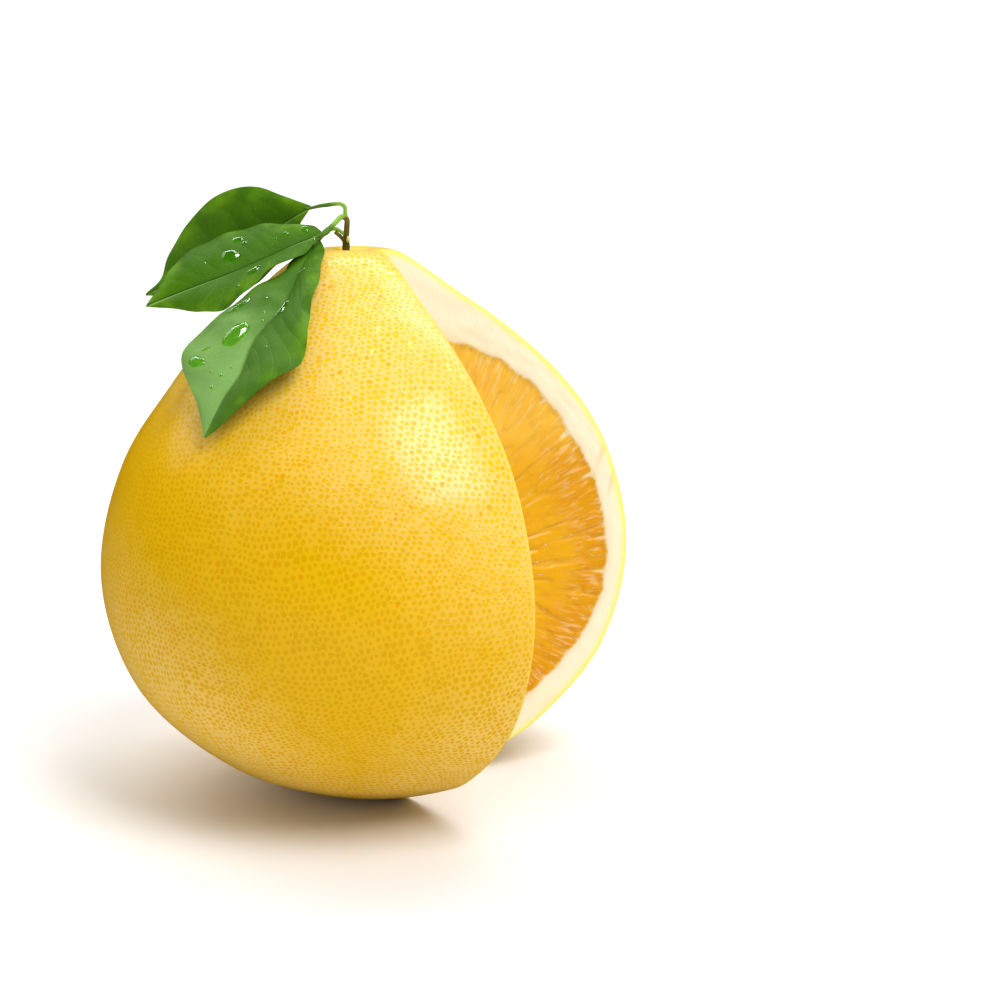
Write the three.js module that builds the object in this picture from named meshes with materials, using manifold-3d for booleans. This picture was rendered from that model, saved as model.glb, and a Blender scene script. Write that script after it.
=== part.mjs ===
// A pomelo with one wedge cut out, on its leafy twig. Millimetres, +Z up.
// The origin is the middle of the small flat spot that the fruit rests on.
// The missing wedge opens towards +X and -Y.

import * as THREE from 'three';
import { mergeVertices } from 'three/addons/utils/BufferGeometryUtils.js';
import Module from 'manifold-3d';

const wasm = await Module();
wasm.setup();

// ---------------------------------------------------------------- driving dimensions

const FRUIT_HEIGHT = 162.8;
const REST_RADIUS = 17;

// Outline of the skin from the edge of the flat spot to the rim of the dimple: [radius, height].
const SKIN_OUTLINE = [
  [REST_RADIUS, 0], [22, 1.5], [36.5, 6.9], [50.3, 13.8], [72.5, 36], [81.5, 67.5], [74, 101],
  [58, 124.5], [42, 140.5], [28.5, 151], [19.5, 158], [13.5, 161.8], [8.5, FRUIT_HEIGHT],
];
const DIMPLE_OUTLINE = [[4.5, FRUIT_HEIGHT - 1], [0, FRUIT_HEIGHT - 1.6]];
const SKIN_STEPS = 26;
const SKIN_SEGMENTS = 60;

// The neck leans to one side from this height up.
const LEAN_START = 114;
const NECK_LEAN = new THREE.Vector2(-6.2, 0.5);

// The body is slightly lobed above this height: [lobes, share of the radius, phase in radians].
const LOBE_START = 25;
const LOBES = [[2, 0.0044, 1.0], [3, 0.0038, 2.2], [5, 0.0022, 0.4]];

// Outline of the flesh under the pith, from the bottom to the top of the middle column.
const FLESH_OUTLINE = [
  [13, 10.4], [24, 11.4], [45, 20.5], [65, 38.5], [73, 53], [75, 67], [73.3, 80], [69.5, 93],
  [62, 105.5], [54.5, 116], [46, 124], [34, 131.5], [20, 136.2], [12, 137.6],
];
const FLESH_STEPS = 18;
const FLESH_SEGMENTS = 40;
const COLUMN_RADIUS = 7;
const COLUMN_STEPS = 4;
const GAP = 0.3;

// The missing wedge: where its inner edge stands, and the bearings of its two faces from +X.
const WEDGE_EDGE = new THREE.Vector2(0.4, -3.3);
const FACE_BEARINGS = { near: -57.5, far: 18.3 };
const WEDGE_REACH = 160;
const WEDGE_OVERRUN = 20;
const FLESH_RECESS = 2.2;

// Juice sacs lie in rows between the middle and the pith and point at one focus. A row is
// the shares of the way from the focus to the pith at which its sacs start and end.
const SAC_FOCUS = { across: 7, height: 64 };
const SAC_ROWS = [[0.06, 0.32], [0.3, 0.55], [0.53, 0.79], [0.76, 1.02]];
const SAC_SWEEP = [-90, 90];
const MEAN_FLESH_REACH = 62;
const SAC_PITCH = 4.8;
const SAC_WIDTH = 5.2;
const SAC_FLATNESS = 0.8;
const SAC_DEPTH = 1.9;
const SAC_DIP = 0.5;
const SAC_SIDES = 5;
const SAC_OUTLINE = [[0, 0], [0.42, 0.16], [0.5, 0.42], [0, 1]];

// How much sacs differ: in bearing as a share of their pitch, in reach, in depth and in width.
const SAC_SPREAD = { bearing: 0.3, reach: 0.03, depth: 0.4, width: 0.25 };
const SAC_SEEDS = { near: 11, far: 23 };

const ROD_SIDES = 8;
const TWIG = {
  route: [
    [-8, 0.5, 158], [-8, 0.5, 163], [-8, 0.5, 166],
    [-7.7, 0.5, 169], [-7.8, 0.5, 171.2], [-9, 0.4, 172],
  ],
  radii: [1.15, 1.1, 1.0, 0.85, 0.75, 0.7],
  steps: 14,
};
const BROKEN_STUB = {
  route: [[-8, 0.4, 164.2], [-9.4, -0.4, 166], [-11, -1.4, 167.6]],
  radii: [0.7, 0.6, 0.5],
  steps: 4,
};
const SOCKET_ROUTE = [[-8, 0.5, 157.7], [-8, 0.5, 163], [-8, 0.5, 166]];
const SOCKET_RADIUS = 1.45;

const LEAF_THICKNESS = 0.7;
const LEAF_STEPS = 18;
const LEAF_STEPS_ACROSS = 4;
const LEAF_WAVES = 5.5;
const STALK_STEPS = 12;

// Each leaf: its midrib and its two margins from base to tip, its stalk from the twig to the blade
// with the stalk's radii, how far the blade swells between rib and margin, and how far its margins wave.
const LEAVES = {
  leaf_back: {
    colour: 0x347405,
    midrib: [[-18.5, 3, 174.5], [-26.5, 6, 169.5], [-39.5, 10, 162.5], [-53.5, 13, 155.5], [-68, 15, 148]],
    upper: [
      [-18.5, 3, 175.1], [-27.5, 8, 178], [-34, 11, 180], [-42.5, 13, 179], [-50.5, 14, 174],
      [-56, 15, 167.5], [-61, 16, 159.5], [-63.5, 16, 152.5], [-68, 15, 148.3],
    ],
    lower: [
      [-18.5, 3, 173.9], [-21.5, 3, 169.5], [-24.5, 4, 163], [-29, 5.5, 157], [-37, 8, 150.5],
      [-47.5, 11, 148], [-58, 13.5, 148], [-68, 15, 147.7],
    ],
    stalk: [
      [-8.1, 0.9, 173], [-8.2, 1.2, 174.6], [-9.2, 1.5, 175.5],
      [-12, 2, 175.4], [-15, 2.5, 175], [-19.5, 3.3, 174],
    ],
    stalkRadii: [0.6, 0.6, 0.65, 0.5],
    swell: 1.2,
    wave: 0.5,
  },
  leaf_middle: {
    colour: 0x467f3a,
    midrib: [
      [-15.7, -6, 166.9], [-22.5, -7.5, 164.5], [-29.5, -9, 161.5], [-40.5, -11.5, 157],
      [-51.5, -13, 153], [-65, -13.5, 147.8],
    ],
    upper: [
      [-15, -5.8, 168.2], [-17, -4.6, 169.6], [-21, -3.3, 169.9], [-30, -0.5, 170], [-37.5, 1, 168.5],
      [-44, 0.5, 166.5], [-50, -1.5, 164], [-55.5, -4.5, 160.5], [-58.5, -6.5, 157.5],
      [-61, -9.5, 153.5], [-65, -13.4, 148.1],
    ],
    lower: [
      [-15.7, -6.2, 166.3], [-17.5, -9, 164.5], [-20, -12, 162], [-27, -16.5, 160], [-34.5, -19.5, 154],
      [-42.5, -20.5, 147.5], [-49, -19, 146.5], [-54.5, -17, 147], [-60, -15, 147.3], [-65, -13.6, 147.5],
    ],
    stalk: [
      [-9.6, -0.2, 171.4], [-10.6, -1.5, 170.5], [-12.5, -3.5, 169], [-14, -5.3, 167.7], [-17, -6.5, 166.3],
    ],
    stalkRadii: [0.7, 0.7, 0.8, 0.55],
    swell: 1,
    wave: 0.4,
  },
  leaf_front: {
    colour: 0x5f9a4a,
    midrib: [
      [-16, -3.2, 165.4], [-18.5, -11, 161.7], [-21, -18.5, 158], [-25.5, -29.5, 149], [-30, -33.5, 144.5],
      [-34, -38, 139.5], [-37, -44, 132], [-41, -47, 126.5], [-46.5, -51, 116],
    ],
    upper: [
      [-16.5, -3.2, 165.4], [-20, -7, 162.5], [-24, -9.5, 159.5], [-26, -12, 156.5], [-32, -16.5, 154],
      [-38.5, -21, 150], [-44, -25, 145.5], [-50.5, -28, 140.5], [-53.5, -30.5, 136], [-53.5, -33, 132],
      [-52, -36, 129], [-49.5, -41, 125], [-48, -46, 121], [-46.8, -50.9, 116],
    ],
    lower: [
      [-15.4, -3.3, 165.4], [-14.5, -8, 164.3], [-14, -14.5, 162.5], [-15, -21, 159.5], [-15.5, -28, 155.5],
      [-17.5, -35, 150.5], [-18, -41.5, 145.5], [-18.5, -47, 140.5], [-20.5, -51, 136], [-23.5, -52.5, 134],
      [-32, -53, 129], [-37.5, -53, 123.5], [-43.5, -52, 118], [-46.3, -51.2, 115.9],
    ],
    stalk: [
      [-10.1, 0.2, 168.1], [-11, -0.4, 168.5], [-12.5, -1, 168.4],
      [-14, -1.6, 167.5], [-15.4, -2.8, 166], [-17.3, -6.6, 163.9],
    ],
    stalkRadii: [0.6, 0.6, 0.65, 0.5],
    swell: 1.4,
    wave: 0.5,
  },
};

// ---------------------------------------------------------------- helpers

const vector = ([x, y, z]) => new THREE.Vector3(x, y, z);
const curve = (points) => new THREE.CatmullRomCurve3(points.map(vector), false, 'centripetal');
const radians = THREE.MathUtils.degToRad;
const smoothstep = THREE.MathUtils.smoothstep;

/** A closed geometry as a manifold solid, without the triangles that have no width. */
function solid(geometry) {
  const bare = geometry.clone();
  bare.deleteAttribute('normal');
  bare.deleteAttribute('uv');
  const merged = mergeVertices(bare, 1e-4);
  const index = merged.index.array;
  const kept = [];
  for (let i = 0; i < index.length; i += 3) {
    const [a, b, c] = [index[i], index[i + 1], index[i + 2]];
    if (a !== b && b !== c && c !== a) kept.push(a, b, c);
  }
  const vertProperties = new Float32Array(merged.attributes.position.array);
  return new wasm.Manifold(new wasm.Mesh({ numProp: 3, vertProperties, triVerts: new Uint32Array(kept) }));
}

/** A manifold solid as a geometry. */
function geometryOf(body) {
  const mesh = body.getMesh();
  const geometry = new THREE.BufferGeometry();
  geometry.setAttribute('position', new THREE.BufferAttribute(new Float32Array(mesh.vertProperties), 3));
  geometry.setIndex(new THREE.BufferAttribute(new Uint32Array(mesh.triVerts), 1));
  return geometry;
}

function mesh(name, geometry, colour, roughness) {
  const material = new THREE.MeshStandardMaterial({ color: colour, roughness, metalness: 0 });
  const made = new THREE.Mesh(geometry, material);
  made.name = name;
  return made;
}

/** Points along a smooth outline of [radius, height] pairs. */
function smoothOutline(outline, steps) {
  const path = curve(outline.map(([r, z]) => [r, z, 0]));
  return path.getSpacedPoints(steps).map((p) => new THREE.Vector2(p.x, p.y));
}

/** An outline of [radius, height] turned about +Z. */
function turned(outline, segments) {
  return new THREE.LatheGeometry(outline, segments).rotateX(Math.PI / 2);
}

/** The value at a share of the way along a list of numbers. */
function valueAlong(values, share) {
  const place = share * (values.length - 1);
  const i = Math.min(Math.floor(place), values.length - 2);
  return THREE.MathUtils.lerp(values[i], values[i + 1], place - i);
}

/** A geometry from a list of points and a list of corners. */
function faceted(points, index) {
  const geometry = new THREE.BufferGeometry().setFromPoints(points);
  return geometry.setIndex(index);
}

/** A round rod that tapers along a route, closed at both ends. */
function rod({ route, radii, steps }) {
  const path = curve(route);
  const { normals, binormals } = path.computeFrenetFrames(steps, false);
  const points = [];
  const index = [];
  const corner = (i, k) => i * ROD_SIDES + (k % ROD_SIDES);
  const [first, last] = [(steps + 1) * ROD_SIDES, (steps + 1) * ROD_SIDES + 1];
  for (let i = 0; i <= steps; i += 1) {
    const centre = path.getPointAt(i / steps);
    const radius = valueAlong(radii, i / steps);
    for (let k = 0; k < ROD_SIDES; k += 1) {
      const turn = (2 * Math.PI * k) / ROD_SIDES;
      const point = centre.clone().addScaledVector(normals[i], radius * Math.cos(turn));
      points.push(point.addScaledVector(binormals[i], radius * Math.sin(turn)));
      if (i < steps) {
        index.push(corner(i, k), corner(i, k + 1), corner(i + 1, k + 1));
        index.push(corner(i, k), corner(i + 1, k + 1), corner(i + 1, k));
      }
    }
  }
  for (let k = 0; k < ROD_SIDES; k += 1) {
    index.push(first, corner(0, k + 1), corner(0, k));
    index.push(last, corner(steps, k), corner(steps, k + 1));
  }
  return faceted([...points, path.getPointAt(0), path.getPointAt(1)], index);
}

// ---------------------------------------------------------------- the fruit's body

/** The whole fruit's outside, with its dimple, lobes and leaning neck. */
function wholeFruit() {
  const outline = [
    new THREE.Vector2(0, 0),
    ...smoothOutline(SKIN_OUTLINE, SKIN_STEPS),
    ...DIMPLE_OUTLINE.map(([r, z]) => new THREE.Vector2(r, z)),
  ];
  const geometry = turned(outline, SKIN_SEGMENTS);
  const position = geometry.attributes.position;
  for (let i = 0; i < position.count; i += 1) {
    const [x, y, z] = [position.getX(i), position.getY(i), position.getZ(i)];
    const bearing = Math.atan2(y, x);
    const lobe = LOBES.reduce((sum, [count, share, phase]) => {
      return sum + share * Math.cos(count * bearing + phase);
    }, 0);
    const scale = 1 + lobe * smoothstep(z, 0, LOBE_START);
    const lean = smoothstep(z, LEAN_START, FRUIT_HEIGHT);
    position.setXY(i, x * scale + NECK_LEAN.x * lean, y * scale + NECK_LEAN.y * lean);
  }
  return geometry;
}

/** The ring of flesh round the middle column, drawn in by a gap. */
function fleshRing(drawnIn) {
  const outer = smoothOutline(FLESH_OUTLINE, FLESH_STEPS);
  const inset = outer.map((point, i) => {
    const before = outer[Math.max(i - 1, 0)];
    const after = outer[Math.min(i + 1, outer.length - 1)];
    const inward = new THREE.Vector2(before.y - after.y, after.x - before.x).normalize();
    return point.clone().addScaledVector(inward, drawnIn);
  });
  const [bottom, top] = [inset[0], inset[inset.length - 1]];
  const inner = [];
  for (let i = 0; i <= COLUMN_STEPS; i += 1) {
    const height = THREE.MathUtils.lerp(top.y, bottom.y, i / COLUMN_STEPS);
    inner.push(new THREE.Vector2(COLUMN_RADIUS + drawnIn, height));
  }
  return turned([...inset, ...inner, bottom.clone()], FLESH_SEGMENTS);
}

/** The space of the missing wedge, with both faces moved into the fruit by a recess. */
function wedgeSpace(recess) {
  const { near, far } = FACE_BEARINGS;
  const middle = radians((near + far) / 2);
  const half = radians((far - near) / 2);
  const edge = WEDGE_EDGE.clone();
  edge.x -= (Math.cos(middle) * recess) / Math.sin(half);
  edge.y -= (Math.sin(middle) * recess) / Math.sin(half);
  const corners = [radians(near), middle, radians(far)].map((bearing) => {
    return new THREE.Vector2(Math.cos(bearing), Math.sin(bearing)).multiplyScalar(WEDGE_REACH).add(edge);
  });
  const options = { depth: FRUIT_HEIGHT + 2 * WEDGE_OVERRUN, bevelEnabled: false };
  const geometry = new THREE.ExtrudeGeometry(new THREE.Shape([edge, ...corners]), options);
  return geometry.translate(0, 0, -WEDGE_OVERRUN);
}

function rind() {
  const socket = rod({ route: SOCKET_ROUTE, radii: [SOCKET_RADIUS, SOCKET_RADIUS], steps: 2 });
  const body = solid(wholeFruit())
    .subtract(solid(fleshRing(0)))
    .subtract(solid(socket))
    .subtract(solid(wedgeSpace(0)));
  return mesh('rind', geometryOf(body), 0xf2c52e, 0.45);
}

// ---------------------------------------------------------------- flesh and its juice sacs

/** A repeatable stream of numbers from 0 to 1. */
function stream(seed) {
  let state = seed;
  return () => {
    state = (state * 1664525 + 1013904223) % 4294967296;
    return state / 4294967296;
  };
}

/** The distance from the focus to the flesh's outline, along a bearing in a cut face. */
function reachOfFlesh(bearing, outline) {
  let best = { miss: Infinity };
  for (const point of outline) {
    const across = point.x - SAC_FOCUS.across;
    const up = point.y - SAC_FOCUS.height;
    const miss = Math.abs(Math.atan2(up, across) - bearing);
    if (miss < best.miss) best = { miss, reach: Math.hypot(across, up) };
  }
  return best.reach;
}

/** The juice sacs of one cut face, as solids sunk in its surface. The normal points out of the flesh. */
function sacsOnFace(side, normal) {
  const random = stream(SAC_SEEDS[side]);
  const spread = (size) => size * (random() - 0.5);
  const bearing = radians(FACE_BEARINGS[side]);
  const outward = new THREE.Vector3(Math.cos(bearing), Math.sin(bearing), 0);
  const outline = smoothOutline(FLESH_OUTLINE, 80);
  const [low, high] = SAC_SWEEP.map(radians);

  const placed = (distance, aim, depth) => new THREE.Vector3(WEDGE_EDGE.x, WEDGE_EDGE.y, 0)
    .addScaledVector(outward, SAC_FOCUS.across + distance * Math.cos(aim))
    .addScaledVector(normal, -depth)
    .setZ(SAC_FOCUS.height + distance * Math.sin(aim));

  const sacs = [];
  for (const [inner, outer] of SAC_ROWS) {
    const sweepLength = (high - low) * MEAN_FLESH_REACH * ((inner + outer) / 2);
    const count = Math.round(sweepLength / SAC_PITCH);
    for (let i = 0; i < count; i += 1) {
      const aim = low + ((high - low) * (i + 0.5 + spread(SAC_SPREAD.bearing))) / count;
      const reach = reachOfFlesh(aim, outline);
      const depth = SAC_DEPTH + SAC_SPREAD.depth * random();
      const start = placed(reach * (inner + spread(SAC_SPREAD.reach)), aim, depth);
      const end = placed(reach * (outer + spread(SAC_SPREAD.reach)), aim, depth + SAC_DIP);
      const width = SAC_WIDTH * (1 + spread(SAC_SPREAD.width));
      sacs.push(sacBetween(start, end, width, normal));
    }
  }
  return sacs;
}

/** One juice sac: a spindle between two points, fattest near its inner end and flatter along the normal. */
function sacBetween(start, end, width, normal) {
  const along = end.clone().sub(start);
  const length = along.length();
  const side = normal.clone().cross(along).normalize();
  const upward = along.clone().cross(side).normalize();
  const matrix = new THREE.Matrix4().makeBasis(
    side.multiplyScalar(width),
    upward.multiplyScalar(width * SAC_FLATNESS),
    along.setLength(length),
  );
  const outline = SAC_OUTLINE.map(([r, z]) => new THREE.Vector2(r, z));
  return solid(turned(outline, SAC_SIDES).applyMatrix4(matrix.setPosition(start)));
}

function flesh() {
  const ring = solid(fleshRing(GAP));
  const intoWedge = (side, turn) => {
    const bearing = radians(FACE_BEARINGS[side]);
    return new THREE.Vector3(-Math.sin(bearing), Math.cos(bearing), 0).multiplyScalar(turn);
  };
  const sacs = [...sacsOnFace('near', intoWedge('near', 1)), ...sacsOnFace('far', intoWedge('far', -1))];
  const base = ring.subtract(solid(wedgeSpace(FLESH_RECESS)));
  const body = wasm.Manifold.union([base, ...sacs]).intersect(ring);
  return mesh('flesh', geometryOf(body), 0xefb02f, 0.35);
}

// ---------------------------------------------------------------- twig and leaves

function stem() {
  const body = solid(rod(TWIG)).add(solid(rod(BROKEN_STUB)));
  return mesh('stem', geometryOf(body), 0x5a5a1c, 0.7);
}

/** A blade between two margins, split into triangles alike on both faces. */
function blade({ midrib, upper, lower, swell, wave }) {
  const [rib, high, low] = [midrib, upper, lower].map(curve);
  const rows = [];
  for (let i = 0; i <= LEAF_STEPS; i += 1) {
    const share = i / LEAF_STEPS;
    const centre = rib.getPointAt(share);
    const across = high.getPointAt(share).sub(low.getPointAt(share));
    const normal = across.cross(rib.getTangentAt(share)).normalize();
    const fade = Math.sin(Math.PI * share);
    const row = [];
    for (let j = -LEAF_STEPS_ACROSS; j <= LEAF_STEPS_ACROSS; j += 1) {
      const margin = (j < 0 ? low : high).getPointAt(share);
      const part = Math.abs(j) / LEAF_STEPS_ACROSS;
      const ripple = wave * part * Math.sin(2 * Math.PI * LEAF_WAVES * share + j);
      const lift = fade * (swell * Math.sin(Math.PI * part) + ripple);
      row.push(centre.clone().lerp(margin, part).addScaledVector(normal, lift));
    }
    rows.push(row);
  }
  return slab(rows, LEAF_THICKNESS);
}

/** A closed slab: a grid of points, thickened both ways along its normals. */
function slab(rows, thickness) {
  const [n, m] = [rows.length, rows[0].length];
  const normalAt = (i, j) => {
    const down = rows[Math.min(i + 1, n - 1)][j].clone().sub(rows[Math.max(i - 1, 0)][j]);
    const side = rows[i][Math.min(j + 1, m - 1)].clone().sub(rows[i][Math.max(j - 1, 0)]);
    return side.cross(down).normalize();
  };
  const moved = (offset) => rows.flatMap((row, i) => row.map((point, j) => {
    return point.clone().addScaledVector(normalAt(i, j), offset);
  }));
  const points = [...moved(thickness / 2), ...moved(-thickness / 2)];
  const at = (i, j) => i * m + j;
  const under = n * m;
  const index = [];
  for (let i = 0; i < n - 1; i += 1) {
    for (let j = 0; j < m - 1; j += 1) {
      const [a, b, c, d] = [at(i, j), at(i, j + 1), at(i + 1, j + 1), at(i + 1, j)];
      index.push(a, b, c, a, c, d);
      index.push(under + a, under + c, under + b, under + a, under + d, under + c);
    }
  }
  const rim = [];
  for (let j = 0; j < m - 1; j += 1) rim.push(at(0, j));
  for (let i = 0; i < n - 1; i += 1) rim.push(at(i, m - 1));
  for (let j = m - 1; j > 0; j -= 1) rim.push(at(n - 1, j));
  for (let i = n - 1; i > 0; i -= 1) rim.push(at(i, 0));
  rim.forEach((a, k) => {
    const b = rim[(k + 1) % rim.length];
    index.push(b, a, under + a, b, under + a, under + b);
  });
  return faceted(points, index);
}

function leaf(name) {
  const form = LEAVES[name];
  const stalk = rod({ route: form.stalk, radii: form.stalkRadii, steps: STALK_STEPS });
  const body = solid(blade(form)).add(solid(stalk));
  return mesh(name, geometryOf(body), form.colour, 0.5);
}

// ---------------------------------------------------------------- the part

const pomelo = new THREE.Group();
pomelo.add(rind(), flesh(), stem(), ...Object.keys(LEAVES).map(leaf));

export default pomelo;
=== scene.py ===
"""A pomelo with one wedge cut out, on its leafy twig.

It makes the skin, the cut pith, the juice sacs, the twig, the leaves, the water drops and a studio. Lengths
inside the script are millimetres, and they turn into metres when a mesh is made.
"""

import math

import bpy
import numpy as np
from bpy.props import FloatProperty, FloatVectorProperty, IntProperty, PointerProperty
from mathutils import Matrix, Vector


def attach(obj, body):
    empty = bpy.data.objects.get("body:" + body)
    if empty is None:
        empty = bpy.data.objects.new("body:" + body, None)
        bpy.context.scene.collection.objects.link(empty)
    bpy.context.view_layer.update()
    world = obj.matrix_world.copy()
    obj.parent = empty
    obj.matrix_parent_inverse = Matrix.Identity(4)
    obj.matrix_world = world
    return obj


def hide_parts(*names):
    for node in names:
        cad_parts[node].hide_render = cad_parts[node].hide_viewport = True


bl_info = {
    "name": "Cut Pomelo",
    "version": (1, 0, 0),
    "blender": (4, 5, 0),
    "location": "3D View > Sidebar > Pomelo",
    "description": "Makes a cut pomelo with its leaves, water drops and a plain studio",
    "category": "Object",
}

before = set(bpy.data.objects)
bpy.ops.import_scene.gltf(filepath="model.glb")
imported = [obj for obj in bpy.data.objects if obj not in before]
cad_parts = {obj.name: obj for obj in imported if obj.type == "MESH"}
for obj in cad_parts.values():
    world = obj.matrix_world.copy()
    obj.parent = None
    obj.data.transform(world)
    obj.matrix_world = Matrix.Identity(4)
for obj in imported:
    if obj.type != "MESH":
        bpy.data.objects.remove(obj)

MM = 0.001

# Points of a curve between two of its knots, before they are spaced evenly.
CURVE_FINENESS = 24
# An unevenness is a sum of waves, each with its own share of the wavelength.
RIPPLE_WAVES = 8
RIPPLE_SPREAD = (0.7, 1.5)
RIPPLE_HEIGHT = 3.5
# Millimetres that a radian stands for where an unevenness runs round the fruit.
ARC = 60.0
# A distance larger than any on the fruit.
FAR_AWAY = 99.0

# ---------------------------------------------------------------- the fruit's form

FRUIT_HEIGHT = 162.8
REST_RADIUS = 17.0
SKIN_OUTLINE = [
    (REST_RADIUS, 0), (22, 1.5), (36.5, 6.9), (50.3, 13.8), (72.5, 36), (81.5, 67.5), (74, 101),
    (58, 124.5), (42, 140.5), (28.5, 151), (19.5, 158), (13.5, 161.8), (8.5, FRUIT_HEIGHT),
]
OUTLINE_STEPS = 400
DIMPLE_DEPTH = 1.6
# The neck leans by this much at its top, from this height on.
LEAN_START = 114.0
NECK_LEAN = np.array([-6.2, 0.5])
# Lobes round the fruit, full from this height on: their count, their share of the radius and their turn.
LOBE_START = 25.0
LOBES = [(2, 0.0044, 1.0), (3, 0.0038, 2.2), (5, 0.0022, 0.4)]
LOBE_ROUNDS = 4

FLESH_OUTLINE = [
    (13, 10.4), (24, 11.4), (45, 20.5), (65, 38.5), (73, 53), (75, 67), (73.3, 80), (69.5, 93),
    (62, 105.5), (54.5, 116), (46, 124), (34, 131.5), (20, 136.2), (12, 137.6),
]
FLESH_OUTLINE_STEPS = 500
COLUMN_RADIUS = 7.0

# The missing wedge: its inner edge, and the bearings of its two faces as seen from that edge.
WEDGE_EDGE = np.array([0.4, -3.3])
FAR_BEARING = math.radians(18.3)
NEAR_BEARING = math.radians(302.5)
BEARINGS = {"far": FAR_BEARING, "near": NEAR_BEARING}
FOCUS_HEIGHT = 64.0

# The skin's cut edges are rounded, in full from the second of these distances from the wedge's inner edge on.
EDGE_ROUNDING = 0.4
EDGE_FADE = (1, 8)

# Oil glands lie in rows round the fruit. The rows wave, the glands drift along them, and each one is a little
# out of place, along its row and across it. Waves are heights and lengths, and places are shares of the
# spacing.
ROW_SHARE = 0.866
ROW_PROBES = 300
ROW_WAVES = [(4.0, 45.0), (0.8, 12.0)]
ROW_SEED = 6
GLAND_DRIFT = (0.9, 13.0)
DRIFT_SEED = 9
LOOSENESS = (0.28, 0.31)
EDGE_GAP = 0.3
# Rows don't wave at the foot and the dimple, nor glands drift at the cut edges, before these distances.
CALM_ENDS = 30
CALM_EDGES = 8
# Glands differ in size, ripeness and strength. On the neck they are smaller and fainter, on its right side.
SIZE_SPREAD = 0.26
SIZES = (0.4, 1.7)
STRENGTHS = (0.88, 1)
RARENESS = 14
NECK = (118.0, 152.0)
NECK_RIGHT = (0.0, 20.0)
NECK_SHRINK = 0.25
NECK_FADE = 0.45
# Each dot of colour and each pit fades out between these distances past its own edge.
DOT_EDGE = (0.15, -0.14)
PIT_EDGE = (0.25, -0.24)

# The skin pales towards the neck and right, partly in its own colour and partly as a painted highlight where
# the key light falls, and towards one side as a painted sheen: a direction, and the reaches in it where it
# starts and ends.
PALE_AND_HIGHLIGHT_DIRECTION = (0.6, 0.0, 1.0)
PALE_AND_HIGHLIGHT_TOP = (68.0, 124.0)
SHEEN_SIDE_DIRECTION = (-0.9, 0.0, -0.35)
SHEEN_SIDE = (34.0, 58.0)
# It pales towards the foot too, as a painted reflection of the floor, with the fall below the start and a
# share of the distance from the middle.
SHEEN_FOOT_START = 67.0
SHEEN_FOOT_MIDDLE = -6.0
SHEEN_FOOT_SPREAD = 0.8
SHEEN_FOOT = (24.0, 76.0)

# Bruises in the far face's pith: distance from the wedge's edge, height, half length, half width, lean and
# strength.
BRUISES = [
    (73.4, 99.5, 8.0, 1.3, math.radians(-20), 0.4), (76.4, 89.5, 6.5, 1.2, math.radians(-14), 0.42),
    (57.3, 111.6, 1.0, 0.6, math.radians(-35), 0.8),
]

# The pith on a cut face: rings of points, the first two at these depths and the first sunk by this much.
FACE_RINGS = 14
EDGE_DEPTHS = (0.3, 0.8)
EDGE_SINK = 0.12
# Its relief, as heights, lengths and seeds, fades towards the skin, the wedge's inner edge and the flesh.
PITH_WAVES = [(0.22, 9, 7), (0.12, 3.5, 8)]
PITH_FADES = ((0.8, 4), (0.5, 5), (0, 2.5))
# Its border with the flesh runs in scallops of this depth and length.
SCALLOPS = (1.0, 11.0)
SCALLOP_SEEDS = {"far": 3, "near": 4}
COLUMN_STEPS = 30
TUNNEL_STEPS = {"rind": 36, "flesh": 12}

# ---------------------------------------------------------------- the flesh's form

# Steps of a cut face's grid round its focus and outwards. It runs on under the pith by this overlap.
AIM_STEPS = 420
REACH_STEPS = 100
FLESH_FLOOR = -0.9
FLESH_OVERLAP = 0.9
FLESH_REACH = 62
# Juice sacs lie in rows round the focus, whose outer ends are shares of the reach. They are crowded, and
# each differs in aim, slant, end, length, width and crest by a draw between these limits.
SAC_ROW_ENDS = [1.04, 0.91, 0.78, 0.65, 0.52, 0.4, 0.29, 0.19]
SAC_MIDDLE = 0.11
SAC_INNERMOST = 0.05
SAC_CROWDING = 0.86
SAC_AIMS = (-0.35, 0.35)
SAC_SLANTS = (-0.9, 0.9)
SAC_ENDS = (-0.03, 0.03)
SAC_LENGTHS = (0.8, 1.2)
SAC_WIDTHS = (0.8, 1.25)
SAC_CREST = (-0.42, -0.15)
SAC_MARGIN = 6
# A sac's blunt head is this share of it. Behind it the sac tapers, and its crest dips from a share on.
SAC_HEAD = 0.25
SAC_TAPER = 0.8
SAC_TAPER_POWER = 1.7
SAC_THINNEST = 0.02
SAC_NARROWING = 0.5
SAC_TAIL_START = 0.3
SAC_TAIL_DIP = 0.25
SAC_TAIL_POWER = 1.5
SAC_ROUNDNESS = 0.22
SAC_SEEDS = {"far": 23, "near": 11}
# Near the pith the sacs sink to the border's level, and past it to its foot.
BORDER_FADE = (-1.6, -0.2)
BORDER_LEVEL = 0.06
FOOT_FADE = (0.2, 0.9)
FOOT_LEVEL = 0.7
# The pale rim of the flesh takes over from the sacs' own membranes between these distances from the border.
MEMBRANE_FADE = (-1.2, -0.2)
RIM_FADE = (-1.4, 0.1)
RIM_PALENESS = 1.9
# The grain of the juice on the two cut faces is taken this far apart.
GRAIN_APART = 50.0

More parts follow.
